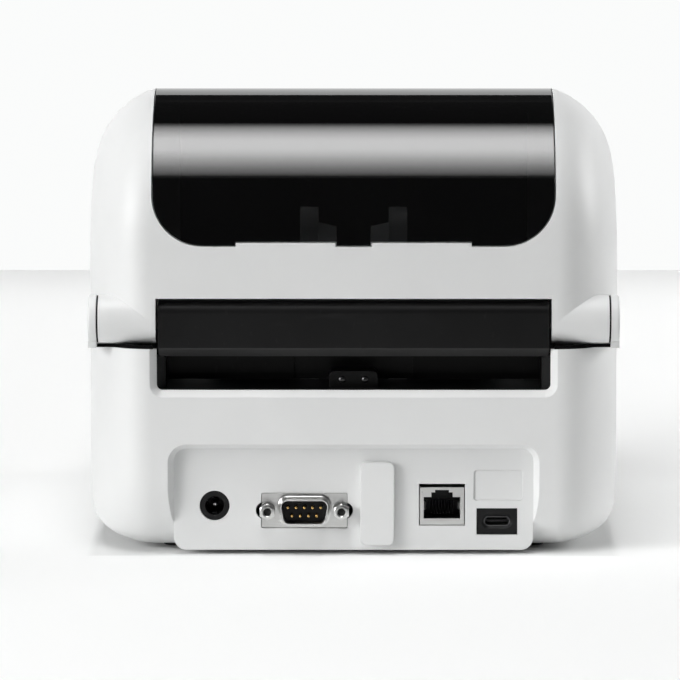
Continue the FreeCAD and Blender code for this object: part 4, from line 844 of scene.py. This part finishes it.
# the lamps leave the floor pale grey away from the printer: a faint glow along its length brings it back to white,
# but not under the printer, and it dims again near the horizon
def makeFloor():
    look = stageLook
    half, near, far = look["floorHalf"], look["floorNear"], look["floorFar"]
    floor = flatSheet("floor", [(-half, far, 0), (half, far, 0), (half, near, 0), (-half, near, 0)])
    material, tree, shader, coords = startMaterial("paleFloor")
    shader.inputs["Base Color"].default_value = look["floorColour"]
    shader.inputs["Roughness"].default_value = look["floorRough"]
    shader.inputs["Specular IOR Level"].default_value = look["floorGloss"]
    split = addNode(tree, "ShaderNodeSeparateXYZ", (-1100, 0))
    tree.links.new(coords, split.inputs[0])
    along = addNode(tree, "ShaderNodeMapRange", (-900, 0), {"From Min": far, "From Max": near})
    tree.links.new(split.outputs["Y"], along.inputs["Value"])
    glow = ramp(tree, (-700, 0), look["glow"], along.outputs["Result"])
    outside = []
    for axis, side in zip("XY", look["footprint"]):
        size = maths(tree, (-900, -300), "ABSOLUTE", split.outputs[axis])
        outside.append(maths(tree, (-700, -300), "SUBTRACT", size, side))
    clear = addNode(tree, "ShaderNodeMapRange", (-300, -300), {"From Max": look["footprintFade"]})
    tree.links.new(maths(tree, (-500, -300), "MAXIMUM", *outside), clear.inputs["Value"])
    glow = maths(tree, (-100, -100), "MULTIPLY", glow, clear.outputs["Result"])
    glow = maths(tree, (100, -200), "MULTIPLY", glow, seenMask(tree, (-500, -600)))
    shader.inputs["Emission Color"].default_value = (1, 1, 1, 1)
    tree.links.new(glow, shader.inputs["Emission Strength"])
    floor.data.materials.append(material)


# the card: an even white in the window's mirror, plain matt for the light that falls on the pieces
def makeBackdrop():
    look = stageLook
    half, far, top = look["floorHalf"], look["floorFar"], look["wallHeight"]
    wall = flatSheet("backdrop", [(-half, far, 0), (-half, far, top), (half, far, top), (half, far, 0)])
    wall.visible_camera = False  # views from the front look past it
    material, tree, surface = bareMaterial("whiteBackdrop")
    matt = addNode(tree, "ShaderNodeBsdfDiffuse", (-250, 0), {"Color": look["cardColour"]})
    glow = addNode(tree, "ShaderNodeEmission", (-250, -150),
                   {"Color": look["whiteTint"], "Strength": look["wallLevel"]})
    mix = addNode(tree, "ShaderNodeMixShader", (0, 0))
    for socket, source in zip(mix.inputs, (seenMask(tree, (-700, 300)), matt.outputs[0], glow.outputs[0])):
        tree.links.new(source, socket)
    tree.links.new(mix.outputs[0], surface)
    wall.data.materials.append(material)


# a box without a lid, as white as the card: it stands behind the floor in every view, and neither lights the
# printer nor is mirrored in it
def makeRoom():
    look = stageLook
    side, low, top = look["roomHalf"], look["roomLow"], look["roomTop"]
    ring = [(-side, -side), (side, -side), (side, side), (-side, side)]
    corners = [(x, y, z) for z in (low, top) for x, y in ring]
    walls = [(i, i + 4, (i + 1) % 4 + 4, (i + 1) % 4) for i in range(4)]
    room = flatSheet("whiteRoom", corners, [(0, 1, 2, 3)] + walls)
    room.visible_diffuse = room.visible_glossy = room.visible_transmission = room.visible_shadow = False
    material, tree, surface = bareMaterial("roomWhite")
    glow = addNode(tree, "ShaderNodeEmission", (-250, 0), {"Color": look["whiteTint"], "Strength": look["wallLevel"]})
    tree.links.new(glow.outputs[0], surface)
    room.data.materials.append(material)


makeFloor()
makeBackdrop()
makeRoom()
print("stage set")


# lights: an overhead sheet that the window mirrors, a soft lamp on the picture's left, a weaker one on its right
lightLook = dict(
    overhead=dict(
        height=1.35, near=1.33, far=-0.10, sides=(-0.19, 0.45), level=6.9,
        fade=[(0.0, 0.02), (1.0, 0.04), (0.03, 0.09), (0.095, 0.44), (0.17, 0.69), (0.29, 1.0), (0.45, 0.98),
              (0.63, 0.58), (0.80, 0.29), (0.93, 0.15)],  # share of its length from the far end, share of the level
    ),
    left=dict(azimuth=58.0, elevation=15.0, distance=1.9, size=(0.9, 0.9), watts=22.8),
    right=dict(azimuth=-100.0, elevation=20.0, distance=1.9, size=(0.9, 0.9), watts=16.8),
    aim=(0.0, 0.05, 0.07),
    world=0.02,
)


# azimuth turns from the rear, where the camera stands, towards +X
def makeLamp(name):
    look = lightLook[name]
    turn, lift = math.radians(look["azimuth"]), math.radians(look["elevation"])
    away = np.array((math.sin(turn) * math.cos(lift), math.cos(turn) * math.cos(lift), math.sin(lift)))
    lamp = bpy.data.lights.new(name, "AREA")
    lamp.shape = "RECTANGLE"
    lamp.size, lamp.size_y = look["size"]
    lamp.energy = look["watts"]
    holder = bpy.data.objects.new(name, lamp)
    scene.collection.objects.link(holder)
    holder.location = np.array(lightLook["aim"]) + look["distance"] * away
    holder.rotation_euler = (math.pi / 2 - lift, 0, math.pi - turn)


# a glowing sheet from over the printer towards the camera, brightest at a third of its length
def makeOverhead():
    look = lightLook["overhead"]
    z, near, far, (low, high) = look["height"], look["near"], look["far"], look["sides"]
    panel = flatSheet("overheadPanel", [(low, far, z), (low, near, z), (high, near, z), (high, far, z)])
    panel.visible_camera = False
    material, tree, surface = bareMaterial("panelGlow")
    coords = addNode(tree, "ShaderNodeTexCoord", (-900, 0))
    split = addNode(tree, "ShaderNodeSeparateXYZ", (-700, 0))
    tree.links.new(coords.outputs["Object"], split.inputs[0])
    along = addNode(tree, "ShaderNodeMapRange", (-500, 0), {"From Min": far, "From Max": near})
    tree.links.new(split.outputs["Y"], along.inputs["Value"])
    fade = ramp(tree, (-300, 0), look["fade"], along.outputs["Result"])
    glow = addNode(tree, "ShaderNodeEmission", (0, 0))
    tree.links.new(maths(tree, (-100, -150), "MULTIPLY", fade, look["level"]), glow.inputs["Strength"])
    tree.links.new(glow.outputs[0], surface)
    panel.data.materials.append(material)


makeLamp("left")
makeLamp("right")
makeOverhead()
world = bpy.data.worlds.new("dimRoom")
world.use_nodes = True
world.node_tree.nodes["Background"].inputs["Color"].default_value = (1, 1, 1, 1)
world.node_tree.nodes["Background"].inputs["Strength"].default_value = lightLook["world"]
scene.world = world
print("lights set")


# camera: a long lens behind the printer, a little above it
cameraLook = dict(place=(0.0, 1.841, 0.260), aim=(0.00457, 0.111, 0.07324), focalPixels=5185.0, widthPixels=680,
                  sensor=36.0, reach=40.0)


def makeCamera():
    look = cameraLook
    lens = bpy.data.cameras.new("viewCamera")
    lens.sensor_width = look["sensor"]
    lens.lens = look["focalPixels"] * look["sensor"] / look["widthPixels"]
    lens.clip_end = look["reach"]
    camera = bpy.data.objects.new("viewCamera", lens)
    scene.collection.objects.link(camera)
    aim = np.array(look["aim"]) - np.array(look["place"])
    camera.location = look["place"]
    camera.rotation_euler = (math.atan2(math.hypot(aim[0], aim[1]), -aim[2]), 0, math.atan2(-aim[0], aim[1]))
    scene.camera = camera


makeCamera()
scene.view_settings.view_transform = "Standard"
print("camera set")
